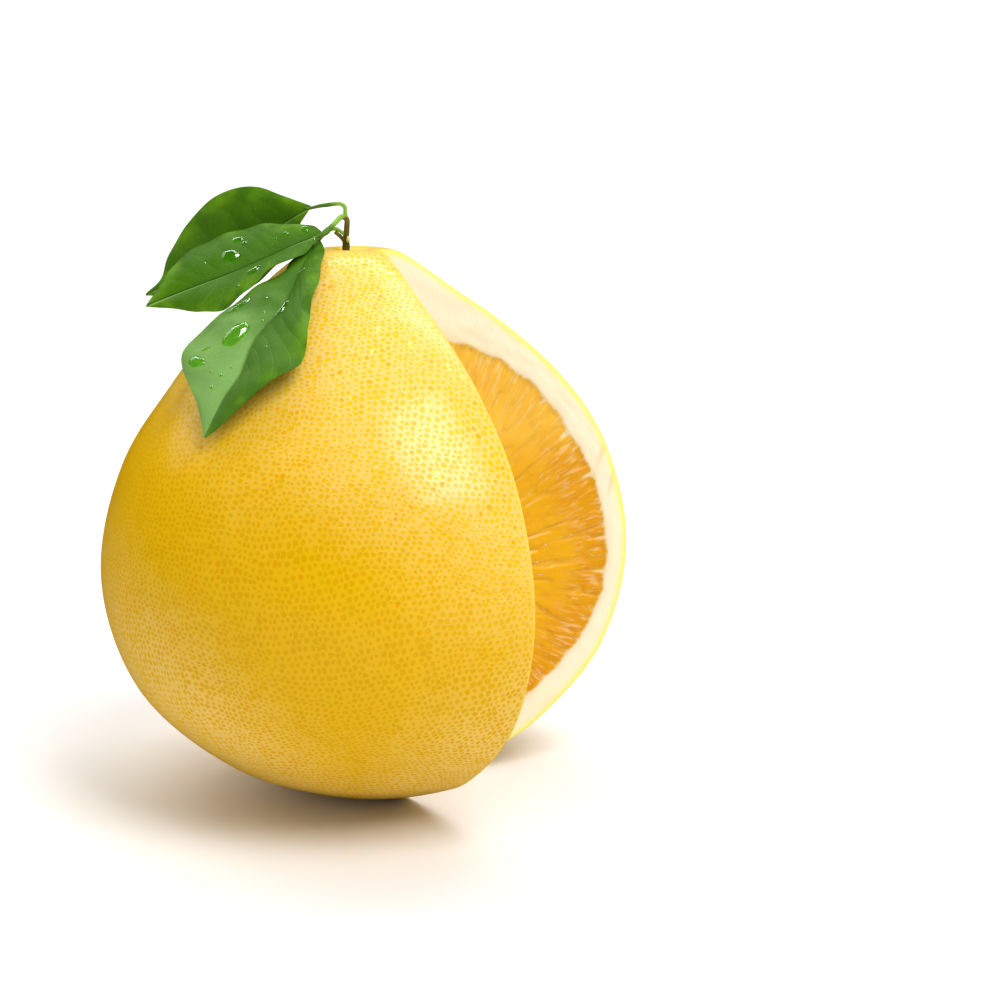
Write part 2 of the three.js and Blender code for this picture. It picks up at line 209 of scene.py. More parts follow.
# Shreds of membrane, as shares of the grid's rows and of the reach: where, how long, how wide and how high.
SHREDS = 60
SHRED_ROWS = (0.08, 0.92)
SHRED_STARTS = (0.03, 0.9)
SHRED_GATHERING = 1.5
SHRED_LENGTHS = (0.012, 0.035)
SHRED_LEAN = 0.8
SHRED_WIDTHS = (0.07, 0.15)
SHRED_TIP = 0.02
SHRED_LIFTS = (0.0, 0.05, 0.05, 0.0)
SHRED_EDGE = 5
SHRED_STEPS = 8
SHRED_SIDES = 6
SHRED_VALUES = (2.4, 0, 1, 0, 0, 0)
SHRED_SEEDS = {"far": 5, "near": 6}

# The juice pales between these heights.
PALE_JUICE = (92.0, 108.0)
# Pale strands that run in from the pith on the far face: aim from the focus, width and inner end as a share.
# Each drifts aside by this angle on its way to the focus, and is whole from this share on.
STRAND_DRIFT = 0.15
STRAND_END = 0.99
STRANDS = [
    (math.radians(47), 1.0, 0.9), (math.radians(36.5), 1.5, 0.8), (math.radians(23.5), 1.1, 0.83),
    (math.radians(13), 0.7, 0.9), (math.radians(5), 1.0, 0.87), (math.radians(-4), 0.9, 0.88),
    (math.radians(-15), 0.7, 0.91),
]

# ---------------------------------------------------------------- the twig's and the leaves' form

# The twig, its broken side stub and its bud. Steps run along a rod and sides round it.
TWIG = [
    {
        "route": [
            (-8, 0.5, 158), (-8, 0.5, 163), (-8, 0.5, 166), (-7.7, 0.5, 169), (-7.8, 0.5, 171.2),
            (-9, 0.4, 172),
        ],
        "radii": [1.5, 1.15, 1.1, 0.95, 0.8, 0.8, 0.8],
        "steps": 40, "sides": 20, "slot": 0, "uneven": 0.08, "seed": 3,
    },
    {
        "route": [(-8, 0.4, 164.2), (-9.4, -0.4, 166), (-11, -1.4, 167.6)],
        "radii": [0.7, 0.6, 0.55, 0.6],
        "steps": 14, "sides": 14, "slot": 0, "uneven": 0.1, "seed": 4,
    },
    {
        "route": [(-7.6, -0.5, 164.6), (-7.3, -0.9, 165.4), (-7.4, -0.9, 166.4)],
        "radii": [0.3, 0.6, 0.6, 0.2],
        "steps": 10, "sides": 12, "slot": 1, "uneven": 0.1, "seed": 5,
    },
]
STALK = {"steps": 30, "sides": 16, "slot": 2, "uneven": 0.05, "seed": 9}
# A rod's rings start on this side of it, and its bark is uneven at this length.
ROD_SIDE = (0.3, 1.0, 0.2)
BARK_GRAIN = 1.6

# A leaf's edge is waved this many times along it, with the two halves this far out of step.
LEAF_WAVES = 5.5
LEAF_WAVE_TURN = 4
LEAF_ROWS = 120
LEAF_COLUMNS = 22
# The leaf's side veins lean towards its tip, wander, and leave the blade quilted between them.
VEIN_LEAN = (0.08, 0.10)
VEIN_WANDER = 0.3
VEIN_WANDER_LENGTH = 7
VEIN_WANDER_SCALE = (30, 6)
VEIN_SEED = 12
QUILT_POWER = 0.7
QUILT_START = (0.5, 4)
QUILT_END = (0.75, 1)
# The rib is a groove above and a ridge below, and the blade thins towards its edge.
GROOVE_WIDTH = 0.55
GROOVE_DEPTH = 0.3
RIDGE_WIDTH = 0.7
RIDGE_HEIGHT = 0.45
THIN_EDGE = 1.2
THINNING = 0.55
# A leaf's painted sheen, as shares of the light green, is the lower half's from base to tip and then the
# upper half's; it stands for the sky reflected on the halves that face up. Its quilting is the height in the
# upper half and then in the lower.
# A leaf's rib sets the painted shade in its groove, the painted highlight on its lit edge, and its groove's
# bump.
LEAVES = {
    "leaf_back": {
        "sheen_shares": [(0.0, 0.0), (0.0, 0.03)],
        "veins": 8,
        "quilting": (0.3, 0.3),
        "vein_strength": 0.02,
        "rib": 0.5,
        "gloss": 0.06,
        "midrib": [
            (-18.5, 3, 174.5), (-26.5, 6, 169.5), (-39.5, 10, 162.5), (-53.5, 13, 155.5), (-68, 15, 148),
        ],
        "upper": [
            (-18.5, 3, 175.1), (-27.5, 8, 178), (-34, 11, 180), (-42.5, 13, 179), (-50.5, 14, 174),
            (-56, 15, 167.5), (-61, 16, 159.5), (-63.5, 16, 152.5), (-68, 15, 148.3),
        ],
        "lower": [
            (-18.5, 3, 173.9), (-21.5, 3, 169.5), (-24.5, 4, 163), (-29, 5.5, 157), (-37, 8, 150.5),
            (-47.5, 11, 148), (-58, 13.5, 148), (-68, 15, 147.7),
        ],
        "stalk": [
            (-7.9, 0.6, 171.6), (-8.1, 0.9, 173), (-8.2, 1.2, 174.6), (-9.2, 1.5, 175.5),
            (-12, 2, 175.4), (-15, 2.5, 175), (-19.5, 3.3, 174),
        ],
        "stalk_radii": [0.6, 0.6, 0.6, 0.62, 0.5, 0.45],
        "swell": 1.2,
        "wave": 0.5,
    },
    "leaf_middle": {
        "sheen_shares": [(0.03, 0.02), (0.04, 0.0)],
        "veins": 11,
        "quilting": (0.2, 0.08),
        "vein_strength": 0.08,
        "rib": 0.9,
        "gloss": 0.06,
        "midrib": [
            (-15.7, -6, 166.9), (-22.5, -7.5, 164.5), (-29.5, -9, 161.5), (-40.5, -11.5, 157),
            (-51.5, -13, 153), (-65, -13.5, 147.8),
        ],
        "upper": [
            (-15, -5.8, 168.2), (-17, -4.6, 169.6), (-21, -3.3, 169.9), (-30, -0.5, 170), (-37.5, 1, 168.5),
            (-44, 0.5, 166.5), (-50, -1.5, 164), (-55.5, -4.5, 160.5), (-58.5, -6.5, 157.5),
            (-61, -9.5, 153.5), (-65, -13.4, 148.1),
        ],
        "lower": [
            (-15.7, -6.2, 166.3), (-17.5, -9, 164.5), (-20, -12, 162), (-27, -16.5, 160),
            (-34.5, -19.5, 154), (-42.5, -20.5, 147.5), (-49, -19, 146.5), (-54.5, -17, 147),
            (-60, -15, 147.3), (-65, -13.6, 147.5),
        ],
        "stalk": [
            (-8.3, 0.3, 172.2), (-9.6, -0.2, 171.7), (-10.8, -1.5, 170.5), (-12.5, -3.5, 169),
            (-14, -5.3, 167.7), (-17, -6.5, 166.3),
        ],
        "stalk_radii": [0.75, 0.75, 0.7, 0.72, 0.95, 0.8, 0.45],
        "swell": 1.0,
        "wave": 0.4,
    },
    "leaf_front": {
        "sheen_shares": [(0.0, 0.08), (0.0, 0.64)],
        "veins": 15,
        "quilting": (0.03, 0.3),
        "vein_strength": 0.12,
        "rib": 0.15,
        "gloss": 0.05,
        "midrib": [
            (-16, -3.2, 165.4), (-18.5, -11, 161.7), (-21, -18.5, 158), (-25.5, -29.5, 149),
            (-30, -33.5, 144.5), (-34, -38, 139.5), (-37, -44, 132), (-41, -47, 126.5), (-46.5, -51, 116),
        ],
        "upper": [
            (-16.5, -3.2, 165.4), (-20, -7, 162.5), (-24, -9.5, 159.5), (-26, -12, 156.5), (-32, -16.5, 154),
            (-38.5, -21, 150), (-44, -25, 145.5), (-50.5, -28, 140.5), (-53.5, -30.5, 136), (-53.5, -33, 132),
            (-52, -36, 129), (-49.5, -41, 125), (-48, -46, 121), (-46.8, -50.9, 116),
        ],
        "lower": [
            (-15.4, -3.3, 165.4), (-14.5, -8, 164.3), (-14, -14.5, 162.5), (-15, -21, 159.5),
            (-15.5, -28, 155.5), (-17.5, -35, 150.5), (-18, -41.5, 145.5), (-18.5, -47, 140.5),
            (-20.5, -51, 136), (-23.5, -52.5, 134), (-32, -53, 129), (-37.5, -53, 123.5), (-43.5, -52, 118),
            (-46.3, -51.2, 115.9),
        ],
        "stalk": [
            (-8.1, 0.4, 166.5), (-10.1, 0.2, 168.1), (-11, -0.4, 168.5), (-12.5, -1, 168.4),
            (-14, -1.6, 167.5), (-15.4, -2.8, 166), (-17.3, -6.6, 163.9),
        ],
        "stalk_radii": [0.5, 0.5, 0.6, 0.6, 0.6, 0.5, 0.45],
        "swell": 1.4,
        "wave": 0.5,
    },
}

# ---------------------------------------------------------------- the water's form

# A drop's foot is sunk a little. Its outline is uneven, more so on a large one, its front end is wider, and
# its dome rises by this power.
DROP_RINGS = 8
DROP_SIDES = 32
DROP_SINK = 0.1
DROP_UNEVEN = 0.05
LARGE_DROP = 4
DROP_FRONT = 0.25
DROP_DOME = 0.6
# The gloss of the water's outer film, as its refraction, sets how bright the glints are.
GLOSS_ON_LEAF = 1.9
GLOSS_ON_SKIN = 1.6
# Drops on the leaves: the share along the rib, the part across, length, width, turn from the rib and height.
LEAF_DROPS = {
    "leaf_middle": [
        (0.483, 0.34, 6.2, 4.6, 24, 1.1), (0.425, 0.70, 4.0, 2.6, 10, 0.6), (0.40, 0.52, 2.0, 1.8, 0, 0.6),
        (0.183, 0.50, 2.2, 1.7, 20, 0.6), (0.083, 0.66, 3.2, 2.2, 50, 0.7), (0.242, 0.41, 1.1, 1.0, 0, 0.3),
        (0.258, 0.22, 0.9, 0.9, 0, 0.3), (0.40, -0.55, 4.9, 2.4, 0, 0.7), (0.508, -0.73, 1.3, 1.0, 30, 0.3),
        (0.030, -0.40, 1.8, 1.3, 0, 0.4), (0.62, 0.45, 0.8, 0.7, 0, 0.2),
    ],
    "leaf_front": [
        (0.430, 0.76, 8.0, 2.3, 20, 0.8), (0.575, 0.30, 9.8, 5.6, 3, 1.4), (0.442, -0.14, 7.0, 2.4, 12, 0.8),
        (0.690, 0.72, 5.6, 3.6, 100, 1.0), (0.640, 0.62, 3.2, 1.4, 70, 0.4), (0.750, 0.30, 1.3, 1.2, 0, 0.4),
        (0.715, 0.17, 1.1, 1.0, 0, 0.3), (0.735, 0.48, 1.0, 0.9, 0, 0.3), (0.50, 0.10, 1.1, 0.9, 0, 0.3),
        (0.39, 0.35, 1.3, 0.9, 20, 0.3), (0.62, -0.35, 1.3, 0.9, 30, 0.3), (0.80, 0.45, 1.6, 1.3, 0, 0.4),
        (0.24, -0.30, 4.8, 1.2, 60, 0.3), (0.46, 0.20, 0.9, 0.8, 0, 0.2),
    ],
}
# Drops on the skin: the travel over it, the bearing, length up the skin, width, turn and height.
SKIN_DROPS = [
    (230.3, 286.1, 3.4, 6.4, -20, 0.5), (225.2, 277.0, 2.0, 1.4, 30, 0.3), (223.6, 288.6, 1.8, 1.2, 0, 0.3),
    (216.2, 265.0, 1.6, 1.0, 0, 0.25), (208.3, 270.8, 2.4, 1.0, 10, 0.25), (202.1, 284.0, 2.4, 1.6, 0, 0.4),
    (193.3, 296.3, 3.4, 1.5, -8, 0.3), (190.0, 299.3, 2.2, 1.0, 0, 0.25), (200.3, 268.4, 1.8, 0.9, 0, 0.2),
    (177.5, 276.3, 2.0, 1.1, 0, 0.3), (160.8, 283.7, 3.4, 3.0, 20, 0.7), (166.5, 288.2, 2.4, 0.8, 34, 0.15),
    (173.4, 286.6, 1.6, 0.8, 38, 0.15), (162.5, 269.3, 2.2, 0.8, 24, 0.15),
    (153.7, 271.4, 1.4, 0.8, -26, 0.15),
    (137.9, 272.3, 2.0, 0.7, 13, 0.15), (122.0, 273.0, 1.6, 0.7, -14, 0.15), (146.0, 262.0, 1.2, 0.9, 0, 0.2),
    (184.5, 262.0, 1.3, 0.9, 0, 0.2), (170.4, 259.5, 1.1, 0.8, 0, 0.2), (155.0, 290.5, 1.4, 0.9, 0, 0.25),
]

# ---------------------------------------------------------------- numbers and curves


def smoothstep(value, low, high):
    part = np.clip((np.asarray(value, float) - low) / (high - low), 0, 1)
    return part * part * (3 - 2 * part)


def unit(vectors):
    lengths = np.linalg.norm(vectors, axis=-1, keepdims=True)
    return vectors / np.maximum(lengths, 1e-9)


def smooth_route(points, steps):
    """Evenly spaced points along a centripetal Catmull-Rom curve through the points, ends included."""
    points = np.asarray(points, float)
    ends = (2 * points[0] - points[1], 2 * points[-1] - points[-2])
    padded = np.vstack([ends[0], points, ends[1]])
    fine = []
    for a, b, c, d in zip(padded, padded[1:], padded[2:], padded[3:]):
        knots = np.cumsum([0] + [math.sqrt(np.linalg.norm(q - p)) for p, q in ((a, b), (b, c), (c, d))])
        at = np.linspace(knots[1], knots[2], CURVE_FINENESS, endpoint=False)[:, None]

        def between(p, q, i, j):
            return ((knots[j] - at) * p + (at - knots[i]) * q) / (knots[j] - knots[i])

        left, middle, right = between(a, b, 0, 1), between(b, c, 1, 2), between(c, d, 2, 3)
        fine.append(between(between(left, middle, 0, 2), between(middle, right, 1, 3), 1, 2))
    fine = np.vstack([*fine, points[-1:]])
    travel = np.concatenate([[0], np.cumsum(np.linalg.norm(np.diff(fine, axis=0), axis=1))])
    even = np.linspace(0, travel[-1], steps + 1)
    return np.stack([np.interp(even, travel, column) for column in fine.T], axis=1)


def ripple(points, wavelength, seed):
    """A smooth, repeatable unevenness between about -1 and 1."""
    random = np.random.default_rng(seed)
    total = np.zeros(len(points))
    for _ in range(RIPPLE_WAVES):
        direction = unit(random.normal(size=points.shape[1]))
        turns = points @ direction * (2 * math.pi / (wavelength * random.uniform(*RIPPLE_SPREAD)))
        total += np.cos(turns + random.uniform(0, 2 * math.pi))
    return total / RIPPLE_HEIGHT


def colour(code):
    """A display colour such as #F2C52E as linear red, green and blue."""
    parts = [int(code[i:i + 2], 16) / 255 for i in (1, 3, 5)]
    return tuple(p / 12.92 if p <= 0.04045 else ((p + 0.055) / 1.055) ** 2.4 for p in parts)


# ---------------------------------------------------------------- meshes and pieces


def make_piece(
    name, points, faces, materials, slots=None, point_values=None, corner_values=None, sharp=180.0
):
    """A smooth-shaded mesh object from points in millimetres, riding on the fruit.

    The values become vector attributes of its points or of its faces' corners. Edges turned by more than the
    sharp angle, in degrees, stay sharp.
    """
    mesh = bpy.data.meshes.new(name)
    mesh.from_pydata((np.asarray(points) * MM).tolist(), [], [list(face) for face in faces])
    for domain, layers in (("POINT", point_values), ("CORNER", corner_values)):
        for title, values in (layers or {}).items():
            layer = mesh.attributes.new(title, "FLOAT_VECTOR", domain)
            layer.data.foreach_set("vector", np.asarray(values, np.float32).ravel())
    for material in materials:
        mesh.materials.append(material)
    if slots is not None:
        mesh.polygons.foreach_set("material_index", np.asarray(slots, np.int32))
    mesh.shade_smooth()
    mesh.set_sharp_from_angle(angle=math.radians(sharp))
    mesh.update()
    piece = bpy.data.objects.new(name, mesh)
    bpy.context.scene.collection.objects.link(piece)
    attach(piece, "root")
    return piece


def grid_faces(rows, columns, first=0, around=False):
    """Quads over a grid of points in rows, closed around its columns if asked."""
    faces = []
    for i in range(rows - 1):
        for j in range(columns if around else columns - 1):
            k = (j + 1) % columns
            a, b = first + i * columns, first + (i + 1) * columns
            faces.append((a + j, a + k, b + k, b + j))
    return faces


class Soup:
    """Points and faces of one piece, gathered part by part."""

    def __init__(self, width=3):
        self.points, self.faces, self.slots, self.values = [], [], [], []
        self.count, self.width = 0, width

    def add(self, points, values=None):
        points = np.asarray(points, float)
        first = self.count
        self.points.append(points)
        blank = np.zeros((len(points), self.width))
        self.values.append(blank if values is None else blank + np.asarray(values, float))
        self.count += len(points)
        return first

    def cover(self, faces, slot=0):
        self.faces.extend(faces)
        self.slots.extend([slot] * len(faces))

    def arrays(self):
        return np.vstack(self.points), self.faces, self.slots, np.vstack(self.values)


# ---------------------------------------------------------------- materials


class Wire:
    """A node's output. Python's operators on it add the Math nodes that work them out."""

    def __init__(self, finish, socket):
        self.finish, self.socket = finish, socket

    def maths(self, operation, *values):
        return self.finish.node("ShaderNodeMath", {"operation": operation}, dict(enumerate(values)))

    def __add__(self, other):
        return self.maths("ADD", self, other)

    def __radd__(self, other):
        return self.maths("ADD", other, self)

    def __sub__(self, other):
        return self.maths("SUBTRACT", self, other)

    def __rsub__(self, other):
        return self.maths("SUBTRACT", other, self)

    def __mul__(self, other):
        return self.maths("MULTIPLY", self, other)

    def __rmul__(self, other):
        return self.maths("MULTIPLY", other, self)

    def __pow__(self, other):
        return self.maths("POWER", self, other)

    def at_least(self, other):
        return self.maths("MAXIMUM", self, other)

    def fraction(self):
        return self.maths("FRACT", self)

    def size(self):
        return self.maths("ABSOLUTE", self)

    def rise(self, low, high):
        """0 below low, 1 above high, and smooth between; turned round if low is above high."""
        settings = {"interpolation_type": "SMOOTHSTEP"}
        if low > high:
            return 1 - self.finish.node("ShaderNodeMapRange", settings, {0: self, 1: high, 2: low})
        return self.finish.node("ShaderNodeMapRange", settings, {0: self, 1: low, 2: high})


class Finish:
    """One procedural material, built node by node."""

    def __init__(self, name, **constants):
        self.material = bpy.data.materials.new(name)
        self.material.use_nodes = True
        self.tree = self.material.node_tree
        self.shader = self.tree.nodes["Principled BSDF"]
        for title, value in constants.items():
            self.shader.inputs[title.replace("_", " ")].default_value = value

    def node(self, kind, settings=None, inputs=None, output=0):
        """Add a node with its settings and the values or links of its sockets, and return one output."""
        made = self.tree.nodes.new(kind)
        for title, value in (settings or {}).items():
            setattr(made, title, value)
        for title, value in (inputs or {}).items():
            if isinstance(value, Wire):
                self.tree.links.new(value.socket, made.inputs[title])
            else:
                made.inputs[title].default_value = value
        return Wire(self, made.outputs[output])

    def feed(self, title, wire):
        """Link a wire to one of the shader's sockets."""
        self.tree.links.new(wire.socket, self.shader.inputs[title])

    def product(self, first, second):
        """The dot product of two vectors."""
        return self.node("ShaderNodeVectorMath", {"operation": "DOT_PRODUCT"}, {0: first, 1: second}, "Value")

    def mix(self, mask, first, second):
        """The first colour where the mask is 0 and the second where it is 1."""
        both = {6: first, 7: second}
        both = {i: side if isinstance(side, Wire) else (*side, 1) for i, side in both.items()}
        return self.node("ShaderNodeMix", {"data_type": "RGBA"}, {0: mask, **both}, 2)

    def attribute(self, name):
        """An attribute of the mesh as a vector and as its three numbers."""
        vector = self.node("ShaderNodeAttribute", {"attribute_name": name}, None, "Vector")
        return vector, self.split(vector)

    def split(self, vector):
        """The three numbers of a vector."""
        first = self.node("ShaderNodeSeparateXYZ", None, {0: vector})
        return [Wire(self, number) for number in first.socket.node.outputs]

    def place(self):
        """The place on the piece in millimetres."""
        coordinates = self.node("ShaderNodeTexCoord", None, None, "Object")
        return self.node("ShaderNodeVectorMath", {"operation": "SCALE"}, {0: coordinates, "Scale": 1 / MM})

    def noise(self, place, size, detail=2.0, roughness=0.5):
        """Soft noise from 0 to 1 whose blotches are about this size in millimetres."""
        inputs = {"Vector": place, "Scale": 1 / size, "Detail": detail, "Roughness": roughness}
        return self.node("ShaderNodeTexNoise", None, inputs)

    def stretched(self, place, scale):
        """The place with each of its numbers scaled, so that noise there is stretched."""
        return self.node("ShaderNodeVectorMath", {"operation": "MULTIPLY"}, {0: place, 1: scale})

    def bump(self, height, depth):
        """Relief whose height from 0 to 1 stands for this depth in millimetres."""
        inputs = {"Strength": 1.0, "Distance": depth * MM, "Height": height}
        self.feed("Normal", self.node("ShaderNodeBump", None, inputs))


# ---------------------------------------------------------------- settings


def shade(name, description, code):
    return FloatVectorProperty(
        name=name, description=description, subtype="COLOR", size=3, min=0, max=1, default=colour(code)
    )


def length(name, description, metres, **limits):
    return FloatProperty(
        name=name, description=description, default=metres, unit="LENGTH", precision=4, min=0, **limits
    )


def power(name, description, watts):
    return FloatProperty(name=name, description=description, default=watts, min=0, unit="POWER")


class PomeloRindSettings(bpy.types.PropertyGroup):
    skin: shade("Skin", "Colour of the ripest skin between its oil glands", "#EEBA06")
    # Painted highlight and sheen: the pale skin also stands for the key light's highlight and the floor's
    # reflection.
    skin_pale_and_sheen: shade("Pale skin", "Colour of the palest patches of skin", "#F6CD68")
    skin_neck: shade("Skin on the neck", "Colour of the skin near the twig", "#FBD476")
    gland: shade("Oil glands", "Colour of the oil gland dots on the ripest skin", "#E1AB00")
    # Painted highlight: the pale glands also stand for the key light's highlight.
    gland_pale_and_highlight: shade("Pale oil glands", "Colour of the oil gland dots on the palest skin", "#F5C20A")
    gland_ripe: shade("Ripe glands", "Colour of the few orange glands", "#F09A00")
    rim: shade("Skin's rim", "Colour of the skin along its cut edge", "#FFE24A")
    lemon: shade("Skin's cut edge", "Colour of the outer skin where it is cut", "#FBF066")
    pith: shade("Pith", "Colour of the cut pith", "#FCEFD0")
    pith_warm: shade("Pith by the flesh", "Colour of the pith next to the flesh", "#FAE0B8")
    bruise: shade("Bruise", "Colour of the bruise in the pith", "#EBC070")
    gland_pitch: length("Gland spacing", "Distance between oil glands", 1.88 * MM)
    gland_radius: length("Gland radius", "Radius of a common gland dot", 0.56 * MM)
    seed: IntProperty(name="Seed", description="Start of the glands' scatter", default=5, min=0)


class PomeloFleshSettings(bpy.types.PropertyGroup):
    juice: shade("Juice", "Colour of the juice sacs", "#EAB010")
    juice_pale: shade("Pale juice", "Colour of the juice sacs near the top", "#F6C646")
    juice_deep: shade("Deep juice", "Colour of the deepest sacs", "#DF9A08")
    membrane: shade("Membrane", "Colour of the skin round the sacs", "#F6CC66")
    strand: shade("Strands", "Colour of the strands that run in from the pith", "#FFE6B4")
    sac_width: length("Sac width", "Width of a juice sac", 2.7 * MM)
    sac_length: length("Sac length", "Length of a juice sac", 15 * MM)


class PomeloLeafSettings(bpy.types.PropertyGroup):
    # The deep green is also the painted shade in the rib's groove.
    deep: shade("Deep green", "Colour of the darkest patches and grooves of a leaf", "#28560A")
    dark: shade("Dark green", "Colour of a dark leaf", "#437200")
    fresh: shade("Fresh green", "Colour of the brighter patches near a leaf's edge", "#6E9E10")
    # Painted sheen: the light green stands for the sky reflected on a leaf half that faces up.
    light: shade("Light green", "Colour of the palest half leaf", "#9CCA74")
    # The vein colour is also the painted highlight on the rib's lit edge.
    vein: shade("Veins", "Colour of the veins", "#94B562")
    under: shade("Underside", "Colour of a leaf's underside", "#7FA560")
    stalk: shade("Stalk", "Colour of the greenest part of the stalks", "#86B83A")
    stalk_dark: shade("Dark stalk", "Colour of the dark part of the stalks", "#4F7A16")
    bark: shade("Twig", "Colour of the twig's foot", "#4B4606")
    bark_brown: shade("Upper twig", "Colour of the twig's upper part", "#75661A")
    bud: shade("Bud", "Colour of the small bud on the twig", "#E4DC92")
    thickness: length("Leaf thickness", "Thickness of a leaf between its veins", 0.45 * MM)


class PomeloWaterSettings(bpy.types.PropertyGroup):
    on_leaf: shade("Water on the leaves", "Colour that the leaves take on under the drops", "#94D046")
    on_skin: shade("Water on the skin", "Colour that the skin takes on under the drops", "#FFF8E0")
    ior: FloatProperty(
        name="Refraction", description="Index of refraction of water", default=1.333, min=1, max=2
    )


class PomeloStudioSettings(bpy.types.PropertyGroup):
    floor: shade("Floor", "Colour of the floor and the backdrop", "#F7F7F7")
    sky: FloatProperty(name="Fill", description="Strength of the light from all round", default=0.2, min=0)
    key_power: power("Key light", "Power of the main light", 10.8)
    side_power: power("Side light", "Power of the side light", 1.3)
    rim_power: power("Rim light", "Power of the light behind", 1.4)
    top_power: power("Top light", "Power of the overhead light", 3)
    wall_power: power("Wall light", "Power of the wall light", 18)
    lens: FloatProperty(
        name="Lens", description="Focal length of the camera", default=79.2, min=1, unit="CAMERA"
    )


# ---------------------------------------------------------------- the fruit's body


def skin_table():
    """The skin's course over the fruit, from the middle of the flat spot to the dimple.

    The columns are the travel along the skin, the outline's radius and height there, and the share of the way
    out from the wedge's inner edge.
    """
    outline = smooth_route(SKIN_OUTLINE, OUTLINE_STEPS)
    travel = np.concatenate([[0], np.cumsum(np.linalg.norm(np.diff(outline, axis=0), axis=1))]) + REST_RADIUS
    rim = outline[-1]
    first = (0, REST_RADIUS, 0, 0)
    last = (travel[-1] + rim[0], rim[0], rim[1], 0)
    return np.vstack([first, np.column_stack([travel, outline, np.ones(len(travel))]), last])


def skin_at(table, travel, bearings):
    """Points of the skin at this travel over it, in these directions from the wedge's inner edge.

    Returns the points and their distances from that edge.
    """
    radius, height, share = (np.interp(travel, table[:, 0], column) for column in table.T[1:])
    centre = smoothstep(height, LEAN_START, FRUIT_HEIGHT)[:, None] * NECK_LEAN
    away = WEDGE_EDGE - centre
    ahead = np.column_stack([np.cos(bearings), np.sin(bearings)])
    swell = smoothstep(height, 0, LOBE_START)
    along = np.sum(away * ahead, axis=1)
    reach = radius.copy()
    for _ in range(LOBE_ROUNDS):
        distance = -along + np.sqrt(along ** 2 - np.sum(away * away, axis=1) + reach ** 2)
        spot = away + distance[:, None] * ahead
        about = np.arctan2(spot[:, 1], spot[:, 0])
        lobe = sum(size * np.cos(count * about + phase) for count, size, phase in LOBES)
        reach = radius * (1 + swell * lobe)
    distance = distance * share
    flat = WEDGE_EDGE + distance[:, None] * ahead
    dip = np.linalg.norm(flat - NECK_LEAN, axis=1) / SKIN_OUTLINE[-1][0]
    sunk = np.where((share < 1) & (height > LEAN_START), DIMPLE_DEPTH * (1 - smoothstep(dip, 0, 1)), 0)
    return np.column_stack([flat, height - sunk]), distance


def in_ring(radius, bearing):
    """How far a ring round the fruit's axis is from the wedge's inner edge in this direction."""
    ahead = np.array([math.cos(bearing), math.sin(bearing)])
    along = WEDGE_EDGE @ ahead
    aside = WEDGE_EDGE[0] * ahead[1] - WEDGE_EDGE[1] * ahead[0]
    return -along + np.sqrt(np.asarray(radius, float) ** 2 - aside ** 2)


def from_axis(distance, bearing):
    """The distance from the fruit's axis of a spot this far from the wedge's inner edge."""
    ahead = np.array([math.cos(bearing), math.sin(bearing)])
    return np.linalg.norm(WEDGE_EDGE + np.asarray(distance)[..., None] * ahead, axis=-1)


def on_plane(distance, height, bearing, stand_out=0.0):
    """Points of a vertical plane through the wedge's inner edge, or some way out of it to larger bearings."""
    distance, height = np.asarray(distance, float), np.asarray(height, float)
    x = WEDGE_EDGE[0] + distance * math.cos(bearing) - stand_out * math.sin(bearing)
    y = WEDGE_EDGE[1] + distance * math.sin(bearing) + stand_out * math.cos(bearing)
    return np.stack(np.broadcast_arrays(x, y, height), axis=-1)


def flesh_reach(side, aims):
    """How far the flesh reaches from its focus in a cut face, in these directions from level."""
    bearing = BEARINGS[side]
    foot = (COLUMN_RADIUS, FLESH_OUTLINE[0][1] + 0.1)
    outline = smooth_route([foot, *FLESH_OUTLINE], FLESH_OUTLINE_STEPS)
    across = in_ring(outline[:, 0], bearing) - in_ring(COLUMN_RADIUS, bearing)
    up = outline[:, 1] - FOCUS_HEIGHT
    across, up = np.append(across, 0), np.append(up, up[-1])
    across[0] = 0
    angles = np.maximum.accumulate(np.arctan2(up, np.maximum(across, 0)))
    return np.interp(aims, angles, np.hypot(across, up))


def pith_edge(side, aims):
    """How far from the flesh's focus the pith begins in a cut face. It runs in shallow scallops."""
    depth, span = SCALLOPS
    scallop = 0.5 + 0.5 * ripple(np.column_stack([aims * ARC]), span, SCALLOP_SEEDS[side])
    return flesh_reach(side, aims) - depth * scallop * np.sqrt(np.maximum(np.cos(aims), 0))


def zip_rows(soup, below, above):
    """Triangles between two rows of points, each a list of (index, point), by the shorter diagonal."""
    faces = []
    i = j = 0
    while i < len(below) - 1 or j < len(above) - 1:
        if j == len(above) - 1:
            forward = True
        elif i == len(below) - 1:
            forward = False
        else:
            forward = math.dist(below[i + 1][1], above[j][1]) < math.dist(below[i][1], above[j + 1][1])
        if forward:
            faces.append((below[i][0], below[i + 1][0], above[j][0]))
            i += 1
        else:
            faces.append((below[i][0], above[j + 1][0], above[j][0]))
            j += 1
    soup.cover(faces)


def rounded_bearing(side, distance):
    """A cut face's bearing, drawn back into the skin so that the cut edge can be rounded."""
    back = EDGE_ROUNDING * smoothstep(distance, *EDGE_FADE) / np.maximum(distance, 1)
    return FAR_BEARING + back if side == "far" else NEAR_BEARING - back


